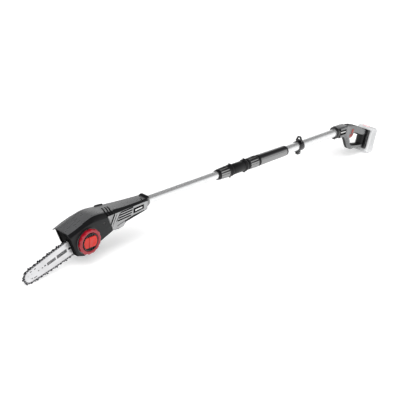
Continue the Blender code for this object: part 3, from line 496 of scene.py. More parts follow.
def build_lock():
    """Lock nut, rear grip nut, front grip and lock body."""
    nut = [(0.3, 14.4, 0), (0.3, 16.8, 0), (0.9, 17.4, 0), (7, 18.2, 0), (8, 18.5, 0),
        (11, 19.3, 0.4), (14, 19.6, 1.7), (48, 21, 1.9), (51.5, 21.1, 0.4), (54, 20.9, 0),
        (55, 20.3, 0), (56, 20.2, 0), (57, 20.8, 0), (62.2, 20.6, 0), (63, 20, 0), (63, 17.5, 0),
        (30, 17.5, 0), (5, 15.9, 0), (5, 14.4, 0)]
    nut = piece("lock_nut_ribbed", ribbed_nut(nut), GLOSS_BLACK, "lock_nut", "lock_nut")
    paint(nut, MATTE_BLACK_AND_SHADE, lambda at, out: at.x < 11 or at.x > 51)
    rear = [(155, 16.4, 0), (155, 19, 0), (155.6, 19.5, 0), (159, 20, 0), (160, 19.6, 0),
        (161, 20.2, 0), (164, 20.9, 1.5), (199, 21.9, 1.9), (202, 21.9, 0.3), (204, 21.7, 0),
        (208.3, 21, 0), (209, 20.4, 0), (209, 16.4, 0)]
    rear = piece("grip_nut_ribbed", ribbed_nut(rear), GLOSS_BLACK, "grip_nut", "grip_nut")
    paint(rear, MATTE_BLACK_AND_SHADE, lambda at, out: at.x < 163 or at.x > 203)
    grip = [(210.5, 16.3), (210.5, 19.4), (211.2, 20), (214, 20.5), (216, 20.5), (216.6, 19.9),
        (217.6, 19.9), (218.2, 20.6), (232, 20.6), (268, 20.2), (300, 19.9), (345, 19.6),
        (366, 19.3), (366.6, 18.7), (367.6, 18.7), (368.2, 19.2), (372, 18.8), (374, 17.9),
        (375, 17.2), (375, 16.3)]
    grip = piece("front_grip_ringed", turned(grip, steps=120), GLOSS_BLACK, "handle", "front_grip")
    paint(grip, MATTE_BLACK_AND_SHADE, lambda at, out: at.x < 218 or at.x > 367)
    softened_cad("lock_body", 0.7, MATTE_BLACK_AND_SHADE, "handle", 2, 28)
    band = [(78, 18.3), (78, 18.9), (79, 19.2), (133, 19.2), (134, 18.9), (134, 18.3)]
    sleeve = turned(band, steps=120, shape=ribs(30, [0, 0.3, 0.3, 0.3, 0.3, 0]))
    piece("lock_body_sleeve", sleeve, MATTE_BLACK_AND_SHADE, "handle")


def build_strap_ring():
    """Shoulder strap ring and its clamp screw."""
    softened_cad("strap_ring", 0.9, BLACK, "strap_ring", 3, 30)
    at = tuple(pivot("strap_screw_turn"))
    head = [(6.8, 0), (6.8, 5), (7.4, 5.6), (13.8, 5.6), (14.6, 5), (14.8, 2.4), (14.2, 2.2),
        (14.2, 0)]
    lobes = ribs(8, [0, 0.5, 0.7, 0.7, 0.5, 0, 0, 0])
    bm = turned(head, at, (0, 1, 0), 96, lobes)
    shank = [(-9, 0), (-9, 1.7), (-8.6, 2), (7, 2), (7, 0)]
    turned(shank, at, (0, 1, 0), 32, bm=bm)
    piece("strap_screw_lobed", bm, STEEL, "strap_screw", "strap_screw")


# ---------- head

def smooth_stations(stations, count):
    """Pass a smooth curve through the stations and resample it."""
    made = []
    last = len(stations) - 1
    for i in range(last):
        p0, p1 = stations[max(i - 1, 0)], stations[i]
        p2, p3 = stations[i + 1], stations[min(i + 2, last)]
        for k in range(count):
            t = k / count
            x = p1[0] + (p2[0] - p1[0]) * t
            row = [x]
            for a, b, c, d in zip(p0[1:], p1[1:], p2[1:], p3[1:]):
                h = p2[0] - p1[0]
                m1 = (c - a) / (p2[0] - p0[0]) * h if i > 0 else c - b
                m2 = (d - b) / (p3[0] - p1[0]) * h if i < last - 1 else c - b
                row.append((2 * t ** 3 - 3 * t ** 2 + 1) * b + (t ** 3 - 2 * t ** 2 + t) * m1
                           + (3 * t ** 2 - 2 * t ** 3) * c + (t ** 3 - t ** 2) * m2)
            made.append(tuple(row))
    made.append(stations[last])
    return made


def roof_section(x, crest, band, crest_half, band_half, shrink=0):
    """Outer line of the roof with rounded shoulders, and its inner line 2.4 to 3 mm within."""
    corner = Vector((crest_half + 1, crest - 0.6))
    start = corner + (Vector((band_half, band)) - corner).normalized() * 5.5
    end = corner - Vector((5.5, 0))
    side = [(band_half - shrink, band), (band_half - shrink - 0.25, band + 0.8)]
    for k in range(9):
        t = k / 8
        p = start * (1 - t) ** 2 + corner * 2 * t * (1 - t) + end * t ** 2
        side.append((p.x, p.y - shrink * 0.7))
    half = crest_half - 6
    crown = [-half + 2 * half * k / 8 for k in range(1, 8)]
    outer = [(-y, z) for y, z in side]
    outer += [(y, crest - 0.6 + 0.6 * (1 - (y / half) ** 2) - shrink * 0.7) for y in crown]
    outer += side[::-1]
    inner = [(band_half - 2.4, band), (crest_half - 1.4, crest - 3),
        (-crest_half + 1.4, crest - 3), (-band_half + 2.4, band)]
    return [spot(x, y, z) for y, z in outer + inner]


ROOF_ROWS = smooth_stations(ROOF, 9)


def between(rows, x):
    """The numbers that a table of rows, each led by its x, has at an x."""
    for a, b in zip(rows, rows[1:]):
        if x <= b[0]:
            break
    t = (x - a[0]) / (b[0] - a[0])
    return [p + (q - p) * t for p, q in zip(a[1:], b[1:])]


def roof_height(x, y):
    """Height of the roof's outer surface over a point."""
    row = between(ROOF_ROWS, x)
    line = [in_pole(p) for p in roof_section(x, *row)[:-4]]
    for p, q in zip(line, line[1:]):
        if p.y <= y <= q.y:
            return p.z + (q.z - p.z) * (y - p.y) / max(q.y - p.y, 1e-6)
    return row[1]


def groove_on_roof(path, width):
    """Cutter for a slanting groove, 1.6 mm deep on the crest and 2.4 mm beyond its near edge."""
    rings = []
    for x, y in path:
        deep = 1.6 if y > -between(ROOF, x)[2] else 2.4
        ring = []
        for side, lift in ((-1, -deep), (1, -deep), (1, 5), (-1, 5)):
            a = x + side * width / 2
            ring.append(spot(a, y, roof_height(a, y) + lift))
        rings.append(ring)
    return skin(rings)


def build_roof():
    """Roof cover with its ends rounded and its near shoulder grooved; painted shade darkens its faces that don't
    face up and its grooves.
    """
    (front, *first), (back, *last) = ROOF_ROWS[0], ROOF_ROWS[-1]
    ends = ((0.02, 1), (0.35, 0.3), (1.1, 0))
    rings = [roof_section(front + step, *first, shrink=less) for step, less in ends]
    rings += [roof_section(*row) for row in ROOF_ROWS[1:-1]]
    rings += [roof_section(back - step, *last, shrink=less) for step, less in ends[::-1]]
    cutters = [groove_on_roof([(-362, -5), (-365, -14), (-367.5, -20), (-369, -26)], 3.2)]
    slant = ((0.5, 4), (-2.5, -6), (-7, -17), (-10.5, -23.5), (-13, -28.5), (-11.5, -33),
        (-8.5, -42))
    for x in (-519, -506.5, -496):
        cutters.append(groove_on_roof([(x + along, y) for along, y in slant], 5.2))
    roof = carve(skin(rings), cutters)
    roof = piece("roof_cover", roof, CHARCOAL, "head", "head_top_cover", smooth=30)
    # Painted shade: the roof's end, downward and steep side faces, and a strip along its sides behind x -500, go
    # near-black
    paint(roof, MATTE_BLACK_AND_SHADE, lambda at, out: abs(out.x) > 0.6 or out.z < -0.2
          or (out.z < 0.87 and abs(out.y) > 0.35)
          or (at.x > -500 and abs(at.y) > between(ROOF, at.x)[2] - 3))
    # Painted shade: the groove floors go matte black
    paint(roof, SHADE_AND_BADGE_BLACK, lambda at, out: -545 < at.x < -350 and out.z > -0.1
          and 0.25 < roof_height(at.x, at.y) - at.z < 2.6)


def panel_half(x):
    """Half width of the head at its slanting side panels."""
    return between(ROOF, x)[3] - PANEL_INSET


def panel_place(a, b, out):
    """Side view to row frame, with out counted from the near side panel."""
    return spot(a, -(panel_half(a) + out), b)


def far_panel_place(a, b, out):
    """The same for the far panel."""
    return spot(a, panel_half(a) + out, b)


def panel_grooves(place):
    """Cutters for the four vents, three slanting stripes and lower crease of a side panel."""
    lines = [((-498, 11), (-515, -18), 5.6), ((-487.5, 9.5), (-508, -25.5), 2.6),
        ((-473, 7.5), (-489, -14), 3.6), ((-484, -31.5), (-444, -24.6), 2),
        ((-444, -24.6), (-412, -19.5), 2), ((-412, -19.5), (-362, -18.6), 2.2)]
    for k in range(4):
        z = -14.9 + 8.2 * k
        lines.append(((-481 + 4 * k, z), (-423 + 2.7 * k, z), 4.7))
    return [groove(start, end, width, -1.1, 9, place) for start, end, width in lines]


def panelled(half, place):
    """A housing half with the CAD's vents closed and its panel's coarser ones and grooves cut."""
    # The new vents are blind grooves; build_housing paints their floors matte black as painted shade
    plate = slab([(-487, -18), (-417, -18), (-407, 12.6), (-472, 12.6)], -2, -0.06, place=place)
    return carve(carve(half, [plate], "UNION"), panel_grooves(place))


def in_panel_groove(at, out, side):
    """Whether a face lies in a groove of a side panel; side is -1 on the near side."""
    return (-522 < at.x < -358 and out.y * side > -0.5
            and 0.15 < panel_half(at.x) - at.y * side < 1.9)


def build_housing():
    """The two housing halves with what is fixed on them; painted shade darkens their fronts, undersides and
    grooves.
    """
    left = panelled(from_cad("head_housing_left"), panel_place)
    # Cut lines where the painted shade below begins
    split(left, spot(-412, 0, -19.5), (-0.164, 0, 0.986))
    split(left, spot(-412, 0, -19.3), (0, 0, 1))
    split(left, spot(-450, 0, 0), (1, 0, 0))
    left = piece("housing_near", left, GREY, "head", "head_housing_left", smooth=32)
    # Painted shade: the front part under the roof, and the part below the lower crease behind x -450, go
    # near-black
    paint(left, MATTE_BLACK_AND_SHADE, lambda at, out: at.x < -524
          or (at.x > -450 and at.z < min(-19.3, -19.5 + (at.x + 412) / 6)))
    # Painted shade: the groove floors go matte black
    paint(left, SHADE_AND_BADGE_BLACK, lambda at, out: in_panel_groove(at, out, -1))
    right = panelled(soften(from_cad("head_housing_right"), 1.2), far_panel_place)
    # Cut line where the painted shade on the far half's front begins
    split(right, spot(-524, 0, 0), (1, 0, 0.3))
    right = piece("housing_far", right, GREY, "head", "head_housing_right")
    # Painted shade: the far half's front part and its downward faces go near-black
    paint(right, MATTE_BLACK_AND_SHADE, lambda at, out: at.x < -524 - 0.3 * at.z or out.z < -0.3)
    # Painted shade: its groove floors, and the inside of its front seen through the open front, go matte black
    paint(right, SHADE_AND_BADGE_BLACK, lambda at, out: in_panel_groove(at, out, 1)
          or (at.x < -560 and out.y < -0.5))
    # Painted shade: the front plate in matte black stands for the dark inside of the head's open front
    softened_cad("front_plate", 0.4, SHADE_AND_BADGE_BLACK, "head")
    collar = [(-344.7, 14.3), (-344.7, 20.2), (-344, 20.8), (-341, 20.8), (-340.2, 20),
        (-339.4, 20), (-338.6, 20.4), (-337, 20.2), (-333, 19.3), (-331.5, 18.6), (-331, 17.8),
        (-331, 14.3)]
    piece("collar_turned", turned(collar, steps=120), CHARCOAL, "head", "head_collar")
    catch = slab([(-530, 22.6), (-494, 20), (-496, 27.4), (-505, 28.6), (-520, 29.8),
        (-528, 29.2)], -28.5, -24.5, 1.5, top=0.8, foot=0.8)
    piece("crest_catch", catch, BLACK, "head")
    lip = []
    for x, top in ((-350, 20), (-347.5, 22.4), (-343, 23.6), (-337, 23.2), (-334.5, 21)):
        section = (-17, 15), (17, 15), (19, 17.5), (14.5, top), (-14.5, top), (-19, 17.5)
        lip.append([spot(x, y, z) for y, z in section])
    piece("roof_lip", soften(skin(lip), 0.7, 2), BLACK, "head")
    softened_cad("badge_plate", 0.5, SHADE_AND_BADGE_BLACK, "head")
    corners = ((-405, -6), (-372, -4.4), (-372, -0.4), (-405, -0.6))
    label = skin([[panel_place(x, z, rise) for x, z in corners] for rise in (1.7, 2.3)])
    piece("badge_label", soften(label, 0.25, 1), LABEL, "head")


def bar_place(along, up, out):
    """Bar view to row frame: along from the stud, up square to it, out towards the knob's side."""
    centre = spot(STUD.x, 0, STUD.z)
    return centre + (BAR_ALONG * along + BAR_UP * up) * MM + Vector((0, -out, 0)) * MM


def build_cover():
    """Sprocket cover: a hollow shell, its screw and the seat of the clamp knob."""
    top = [(-677, -13.5), (-657, -4.8), (-631, 4.4), (-604, 11.8), (-583, 14.5), (-558, 15.4),
        (-528.2, 14.6)]
    outline = [(-648, -83), (-619, -91.5), (-552, -60), (-504.6, -40.5)] + top[::-1]
    radii = [5, 16, 8, 3.5, 4, 0, 0, 0, 0, 0, 4]
    shell = slab(outline, 11.3, 39, radii, top=3.2, steps=6)
    hollow = slab(shrunk(outline, radii, 2.4), 10, 36.6)
    mouth = slab(rect(-120, -35, -30, 35), 9, 20.5, place=bar_place)
    front_line = groove((-672.5, -21), (-645.5, -80), 1.8, 38, 45)
    screw_at, hub_at = (-541, 0, -3), (STUD.x, 0, STUD.z)
    recess = turned([(37.6, 0), (37.6, 5.2), (41, 5.4), (41, 0)], screw_at, NEAR, 48)
    hub = turned([(30, 0), (30, 13), (50, 13), (50, 0)], hub_at, NEAR, 48)
    shell = carve(shell, [hollow, mouth, front_line, recess, hub])
    shell = piece("sprocket_cover_shell", shell, COVER, "head", "sprocket_cover", smooth=30)
    # Painted shade: the cover's front-facing faces go matte black
    paint(shell, SHADE_AND_BADGE_BLACK, lambda at, out: at.x < -645 and out.x < -0.6)
    screw = [(36.9, 0), (36.9, 4.6), (38.1, 4.6), (38.5, 4.1), (38.5, 2.2), (37.7, 1.9), (37.7, 0)]
    piece("cover_screw", turned(screw, screw_at, NEAR, 48), BLACK, "head")
    seat = [(39.1, 13.4), (39.1, 43.6), (40, 43.8), (41, 43.2), (41.6, 42), (41.6, 13.4)]
    piece("knob_seat", turned(seat, hub_at, NEAR, 128), BLACK, "head")


# ---------- bar and chain

def belt(circles, extra, count=96):
    """Outline of a belt pulled round circles (x, y, radius), standing off by extra."""
    points = []
    for x, y, r in circles:
        for k in range(count):
            turn = tau * k / count
            points.append((x + (r + extra) * cos(turn), y + (r + extra) * sin(turn)))
    points = sorted(set(points))

    def half(ordered):
        line = []
        for p in ordered:
            while len(line) > 1:
                (ax, ay), (bx, by) = line[-2], line[-1]
                if (bx - ax) * (p[1] - ay) - (by - ay) * (p[0] - ax) > 1e-9:
                    break
                line.pop()
            line.append(p)
        return line[:-1]

    return half(points) + half(points[::-1])


NOSE_AT = (NOSE - STUD).dot(BAR_ALONG)
OUTPUT_AT = (OUTPUT - STUD).dot(BAR_ALONG)
# Circles (x, y, radius) that the chain's path is pulled round
LOOP = [(NOSE_AT, 0, 19.5), (-120, -13, 12), (-120, 13, 12), (-12, -14, 12), (-12, 14, 12),
        (OUTPUT_AT, 0, 15.3)]


def build_bar():
    """Guide bar with the slots, rivets and etched marks on its faces."""
    shape = LOOP[:3] + [(x, s * y, r) for x, y, r in ((-18, 14, 12), (10, 8, 8)) for s in (-1, 1)]
    blade = slab(belt(shape, 0), 13, 17, top=0.35, foot=0.35, place=bar_place, steps=2)
    slot = groove((-45, 0), (5, 0), 9, 10, 20, bar_place)
    peg = groove((-20.1, -12), (-19.9, -12), 4.6, 10, 20, bar_place)
    oil_hole = groove((-66, 16.5), (-65.9, 16.5), 3.4, 10, 20, bar_place)
    piece("bar_blade", carve(blade, [slot, peg, oil_hole]), BRIGHT, "bar", "guide_bar", smooth=30)
    bm = None
    rivet = [(1.9, 0), (1.9, 1.7), (2.12, 1.75), (2.2, 1.4), (2.2, 0)]
    for side in (1, -1):
        for k in range(3):
            turn = tau * (k + 0.25) / 3
            at = bar_place(NOSE_AT + 8 * cos(turn), 8 * sin(turn), BAR_MIDDLE)
            bm = turned(rivet, tuple(in_pole(at)), (0, -side, 0), 24, bm=bm)
    piece("nose_rivets", bm, STEEL, "bar")
    marks = [(-181, -178.5, 3, 0), (-166.5, -163.5, 3, 0), (-156.5, -152, 4, 1),
        (-208, -203, 2.6, 13.5), (-192, -187, 2.6, 13.5), (-209, -206, 2.6, -10.5),
        (-201, -191, 2.6, -13.5), (-62, -50, 7, 0)]
    marks += [(along, along + 0.7, 10.5, 0) for along in range(-145, -114, 3)]
    marks += [(along, along + 0.8, 12, 0) for along in range(-107, -70, 3)]
    bm = None
    for side in (1, -1):
        for start, end, wide, up in marks:
            low, high = (16.9, 17.06) if side > 0 else (12.94, 13.1)
            mark = rect(start, up - wide / 2, end + 1.6, up + wide / 2)
            bm = slab(mark, low, high, place=bar_place, bm=bm)
    piece("bar_marks", bm, ETCH, "bar")


def resample(outline, count):
    """Points at equal distances along a closed outline."""
    lengths = [0]
    looped = outline + outline[:1]
    for p, q in zip(looped, looped[1:]):
        lengths.append(lengths[-1] + dist(p, q))
    made, k = [], 0
    for i in range(count):
        want = lengths[-1] * i / count
        while lengths[k + 1] < want:
            k += 1
        t = (want - lengths[k]) / (lengths[k + 1] - lengths[k])
        made.append(tuple(a + (b - a) * t for a, b in zip(looped[k], looped[k + 1])))
    return made


def build_chain():
    """Riveted saw chain: drive links between pairs of straps, one of each pair being a cutter."""
    line = belt(LOOP, 2.7)
    total = sum(dist(p, q) for p, q in zip(line, line[1:] + line[:1]))
    count = 4 * round(total / 9.32 / 4)
    joints = resample(line, count)
    links, cutters, pins = bmesh.new(), bmesh.new(), bmesh.new()
    rivet = [(1.85, 0), (1.85, 1.8), (2.35, 1.6), (2.6, 1), (2.6, 0)]

    def oval(height, waist):
        """Link side view over a unit pitch: round ends joined by a waist."""
        outline = []
        for centre, sign in ((1, 1), (0, -1)):
            for k in range(6):
                turn = -pi / 2 + pi * k / 5
                outline.append((centre * pitch + sign * height * cos(turn),
                    sign * height * sin(turn)))
            outline.append((0.5 * pitch, sign * waist))
        return outline

    for i in range(count):
        p, q = Vector(joints[i]), Vector(joints[(i + 1) % count])
        pitch = (q - p).length
        along = (q - p) / pitch
        out = Vector((along.y, -along.x))

        def put(a, b, w, p=p, along=along, out=out):
            at = p + along * a + out * b
            return bar_place(at.x, at.y, BAR_MIDDLE + w)

        if i % 2 == 0:
            drive = oval(2.9, 1.7)
            slab(drive, -0.62, 0.62, place=put, bm=links)
            hump = [(0.22 * pitch, 1.4), (0.78 * pitch, 1.4), (0.66 * pitch, 3.5),
                (0.42 * pitch, 3.5)]
            slab(hump, -0.62, 0.62, place=put, bm=links)
        else:
            cutter_side = 1 if i % 4 == 1 else -1
            for side in (1, -1):
                low, high = sorted((side * 0.75, side * 1.95))
                if side == cutter_side:
                    body = [(-2.2, -2.6), (pitch + 2.2, -2.6), (pitch + 2.4, 0.6),
                        (pitch + 2, 5.2), (pitch - 3, 5.4), (pitch - 3.4, 2), (0.42 * pitch, 2),
                        (0.30 * pitch, 4.6), (-1.2, 4.2), (-2.2, 0.8)]
                    slab(body, low, high, place=put, bm=cutters)
                    lip = [(pitch - 3, 4.4), (pitch + 2, 4.2), (pitch + 2, 5.2), (pitch - 3, 5.4)]
                    slab(lip, *sorted((side * 0.75, side * 3.3)), place=put, bm=cutters)
                else:
                    strap = [(-2.4, -2.8), (pitch + 2.4, -2.8), (pitch + 2.6, 0.6),
                        (0.94 * pitch, 4.4), (0.45 * pitch, 4.6), (-2.4, 1.6)]
                    slab(strap, low, high, place=put, bm=links)
        for side in (1, -1):
            at = tuple(in_pole(bar_place(p.x, p.y, BAR_MIDDLE)))
            turned(rivet, at, (0, -side, 0), 12, bm=pins)
    piece("chain_links", links, LINK, "head", "saw_chain", smooth=25)
    piece("chain_cutters", cutters, CUTTER, "head", smooth=25)
    piece("chain_rivets", pins, STEEL, "head")


# ---------- clamp knob

def build_knob():
    """Chain tension ring, and the clamp knob with its fixed pad and its fold-out flap."""
    centre = (STUD.x, 0, STUD.z)
    ring = [(24.8, 10.3, 0), (24.8, 12.6, 0), (44.2, 12.6, 0), (44.2, 36, 0), (42, 36, 0),
        (42, 40.4, 0.9), (42.6, 41.2, 1.4), (46, 41.8, 2), (49.6, 42, 2.2), (51.2, 41.6, 2),
        (52.3, 40.2, 1.4), (53, 38, 0.6), (53.3, 36, 0), (53, 33, 0), (52.2, 31.4, 0),
        (50.4, 30.2, 0), (48, 29.7, 0), (46, 29.6, 0), (46, 10.3, 0)]

    def scallop(angle, index):
        return ring[index][2] * (0.5 + 0.5 * cos(14 * angle)) ** 1.6

    bm = turned([p[:2] for p in ring], centre, NEAR, 216, scallop)
    piece("tension_ring_scalloped", bm, DEEP_RED, "tension_ring", "tension_ring", smooth=40)
    disc = [(45, 0), (45, 4.4), (19.1, 4.4), (19.1, 9.9), (46.3, 9.9), (46.3, 28.9), (46.6, 29.2),
        (52.4, 29.2), (53.1, 28.8), (53.4, 28.2), (53.4, 27.2), (53, 26.7), (49.6, 26.6), (49, 26),
        (49, 0)]
    bm = turned(disc, centre, NEAR, 144)
    piece("clamp_knob_body", bm, BLACK, "clamp_knob", "clamp_knob", smooth=35)
    side = FLAP.x - STUD.x

    def face(a, b, out):
        return spot(STUD.x + a, -out, STUD.z + b)

    wing, chord = 25.6, 17.5
    cap = degrees(asin(chord / wing))

    def arc(start, end, count):
        turns = [radians(start + (end - start) * k / (count - 1)) for k in range(count)]
        return [(wing * cos(t), wing * sin(t)) for t in turns]

    pad = arc(180 - cap, 180 + cap, 15) + [(side - 3.2, -chord), (side - 3.2, chord)]
    bm = slab(pad, 49.3, 53.3, 1.6, top=1.3, place=face, steps=4)
    piece("knob_pad_rounded", bm, RED, "clamp_knob", "knob_pad")
    flap = arc(-cap, cap, 19) + [(side - 1.2, chord), (side - 1.2, -chord)]
    bm = slab(flap, 49.3, 53.3, 1.6, top=1.3, foot=1, place=face, steps=4)
    dish = slab([(side + 9, -11), (side + 24, -9), (side + 24, 9), (side + 9, 11)], 52.4, 56, 4,
        place=face)
    bm = carve(bm, [dish])
    soften(bm, 0.35, 2, 40)
    piece("knob_flap_rounded", bm, RED, "knob_flap", "knob_flap")
    fins = bmesh.new()
    for sign in (-1, 1):
        for k in range(5):
            a = -14 + 7 * k
            low, high = sorted((sign * 18.6, sign * (sqrt(26 ** 2 - a * a) - 0.6)))
            block((a - 0.8, low, 48.9), (a + 0.8, high, 51.6), face, fins)
    piece("knob_fins", fins, BLACK, "clamp_knob")


# ---------- handle

def on_dock(out, up):
    """Dock view to the pole's x and z."""
    at = DOCK_AT + DOCK_OUT * out + DOCK_UP * up
    return at.x, at.z


def dock_place(out, up, side):
    """Dock view to row frame: out square to the dock, up along it, side towards the knob."""
    x, z = on_dock(out, up)
    return spot(x, -side, z)


def widen_neck(bm):
    """Spread the front of a handle half from the grip's half width to the neck's."""
    for k in range(9):
        split(bm, spot(NECK_END + 4.5 * k, 0, 0), (1, 0, 0))
    for vert in bm.verts:
        x = (vert.co.x - ORIGIN.x) / MM
        t = min(1, max(0, (x - NECK_END) / 36))
        wide = NECK_HALF + (GRIP_HALF - NECK_HALF) * t * t * (3 - 2 * t)
        vert.co.y = ORIGIN.y + (vert.co.y - ORIGIN.y) * wide / GRIP_HALF
    return bm


def handle_half(outline, radii, side):
    """One half of the handle with its long edge well rounded."""
    levels = [(0.45, 0.12), (0, 0.5)]
    for k in range(9):
        turn = pi / 2 * k / 8
        levels.append((5.6 * (1 - cos(turn)), GRIP_HALF - 7 * (1 - sin(turn))))
    return skin([[near_side(a, b, side * out) for a, b in shrunk(outline, radii, d, 6)]
                 for d, out in levels])


def build_handle():
    """The two handle halves, with the slat in the neck and the screws."""
    top = [(690, 19.8), (716, 20.4), (744, 19.4), (746, 17.2), (772, 13), (800, 4.6), (830, -7.6),
        (858, -20)]
    rear = [on_dock(-15, 36), on_dock(-15, -37.5)]
    low = [(820, -95), (800, -92.5), (787, -93.5), (778, -89), (768, -74), (757, -51), (745, -31),
        (731, -24.5), (690, -22.5)]
    radii = [2, 30, 2, 2, 40, 60, 60, 8, 2, 2, 20, 20, 10, 10, 20, 30, 10, 12, 2]
    opening = [(764, -24), (775, -61), (780, -69.5), (792, -73), (853, -84.5), (860, -50),
        (836, -42), (806, -28)]
    rounds = [5, 8, 8, 8, 7, 7, 12, 12]
    flare = [(0, -1), (0, 8.5), (0.6, 10.5), (1.8, 12.6), (4.5, 16.2)]
    seat = [(13.6, 0), (13.6, 4), (17.5, 4.3), (17.5, 0)]
    for side, name in ((1, "left"), (-1, "right")):
        bm = handle_half(top + rear + low, radii, side)
        gap = skin([[near_side(a, b, side * out) for a, b in shrunk(opening, rounds, -d)]
                    for d, out in flare])
        neck = turned([(676, 0), (676, 16.3), (738, 16.3), (738, 0)], steps=72)
        for vert in neck.verts:
            vert.co.y = ORIGIN.y + (vert.co.y - ORIGIN.y) * GRIP_HALF / NECK_HALF
        cutters = [gap, neck, block((758, -6.5, -45), (812, 6.5, -6))]
        if side > 0:
            cutters.append(slab(shrunk(BUTTON, 1.5, -0.4), 5, 20))
            cutters.append(slab([(693, -9.5), (729, -10.5), (731, 9), (695, 10)], 13.4, 20, 2))
            cutters += [turned(seat, (x, 0, z), NEAR, 32) for x, z in HANDLE_SCREWS]
            cutters.append(groove((774, -88), (768, -45), 1, 14.6, 20))
            cutters.append(groove((800, -89.5), (858, -98.5), 1, 14.7, 20))
        bm = widen_neck(carve(bm, cutters))
        # Cut lines where the soft grip and the painted shade end
        split(bm, spot(*DOCK_AT) - DOCK_OUT * 36 * MM, DOCK_OUT)
        split(bm, spot(*GRIP_TOP[0]), GRIP_TOP[1])
        split(bm, spot(860, 0, -87), (0.185, 0, 0.983))
        half = piece(f"handle_half_{name}", bm, HANDLE, "handle", f"handle_shell_{name}",
            smooth=32)

        def soft(at, out, side=side):
            """Soft grip on the rear post, the opening's inner walls in the same black, and painted shade on the
            guard's far front and the rear underside.
            """
            inward = Vector((815 - at.x, 0, -60 - at.z)).dot(out) > 0
            lining = 755 < at.x < 868 and -92 < at.z < -23 and abs(out.y) < 0.7
            rear = (at - DOCK_AT).dot(DOCK_OUT) > -36
            grip = rear and (at - GRIP_TOP[0]).dot(GRIP_TOP[1]) < 0
            grip = grip and at.z > -87 - 0.188 * (at.x - 860)
            # Painted shade: the guard's front faces, on the far half only
            front = side < 0 and at.x < 792 and at.z < -24 and out.x < -0.35
            # Painted shade: downward faces behind x 812
            shaded_underside = at.x > 812 and out.z < -0.35
            return (inward and lining) or grip or front or shaded_underside

        paint(half, SOFT_GRIP_AND_SHADE, soft)
        # Painted shade: the floor of the recess round the neck slat goes matte black
        paint(half, SHADE_AND_BADGE_BLACK, lambda at, out: at.x < 733 and abs(at.z) < 11 and 16 < -at.y < 19.6)
    slat = slab([(697, -1.6), (727, -2.6), (727.6, 1.6), (697.6, 2.6)], 17.2, 19.9, 1, top=0.6)
    piece("neck_slat", slat, PALE, "handle")
    screws = None
    screw = [(13.7, 0), (13.7, 3.4), (14.7, 3.4), (15.2, 2.8), (15.2, 1.4), (14.4, 1.1), (14.4, 0)]
    for x, z in HANDLE_SCREWS:
        screws = turned(screw, (x, 0, z), NEAR, 32, bm=screws)
    piece("handle_screws", screws, STEEL, "handle", "handle_screw")


def build_grip_pad():
    """Soft pad with fine ribs along the top of the handle."""
    path = [(748, 17.2), (772.4, 13.3), (800.5, 4.9), (830.4, -7.2), (857, -19.2)]
    rows = []
    for (x0, z0), (x1, z1) in zip(path, path[1:]):
        for k in range(8):
            rows.append((x0 + (x1 - x0) * k / 8, z0 + (z1 - z0) * k / 8))
    rows.append(path[-1])
    rings = []
    last = len(rows) - 1
    for i, (x, z) in enumerate(rows):
        end = min(i, last - i, 2) / 2
        rib = 0.45 if i % 2 and 4 < i < last - 3 else 0
        half = 9 * (0.8 + 0.2 * end)
        high = 0.4 + 2 * end - rib
        section = [(half, z - 1.6)]
        for across, up in ((1, 0.15), (0.82, 0.72), (0.5, 0.94)):
            section.append((half * across, z + up * high))
        rings.append([spot(x, -y, up) for y, up in section] + [spot(x, 0, z + high)]
                     + [spot(x, y, up) for y, up in section[::-1]])
    piece("grip_pad", skin(rings), SOFT_GRIP_AND_SHADE, "handle", "grip_overmould", smooth=25)


def build_handle_fittings():
    """Front collar of the handle, lock-off button and trigger."""
    collar = [(675.2, 16.4), (675.2, 22.3), (676, 23.3), (677.5, 23.9), (680.5, 23.9),
        (681.5, 23.3), (682.2, 22.5), (683, 22.2), (684, 22.8), (688.6, 22.2), (689.6, 21.5),
        (689.6, 16.4)]
    bm = turned(collar, steps=120)
    piece("handle_collar_turned", bm, BLACK, "handle", "handle_collar")
    ears = bmesh.new()
    ear = fillet([(-8, 20), (8, 20), (6.5, 26.3), (-6.5, 26.3)], 2, 4)
    for sign in (-1, 1):
        skin([[spot(x, y, sign * z) for y, z in ear] for x in (676.2, 680.6)], bm=ears)
    piece("collar_ears", soften(ears, 0.5, 2), BLACK, "handle")
    bm = slab(BUTTON, 10, 17.6, 1.5, top=1.2, steps=4)
    piece("lock_off_rounded", bm, DULL_RED, "lock_off_button", "lock_off_button")
    blade = [(762, -15), (762, -23), (767, -33), (775, -42), (787, -46), (797, -42), (804, -34),
        (804, -26), (776, -24), (771, -15)]
    rounds = [2, 3, 8, 8, 12, 8, 4, 2, 3, 2]
    bm = slab(blade, -5.5, 5.5, rounds, top=1.8, foot=1.8, steps=4)
    piece("trigger_rounded", bm, DULL_RED, "trigger", "trigger")


def battery_outline():
    """Side of the battery: hooked over the dock's top, with its foot cut level for the floor."""
    depth, low, lean = 40, -54, atan2(DOCK_UP.x, DOCK_UP.z)
    drop = -ORIGIN.z / MM
    lift = drop - on_dock(depth, low)[1]
    return [(0.5, low), (0.5, 38.8), (-10, 38.8), (-10, 46), (-6, 50), (30, 50), (depth, 40),
        (depth, low + lift / cos(lean)), (depth - lift / sin(lean), low)]


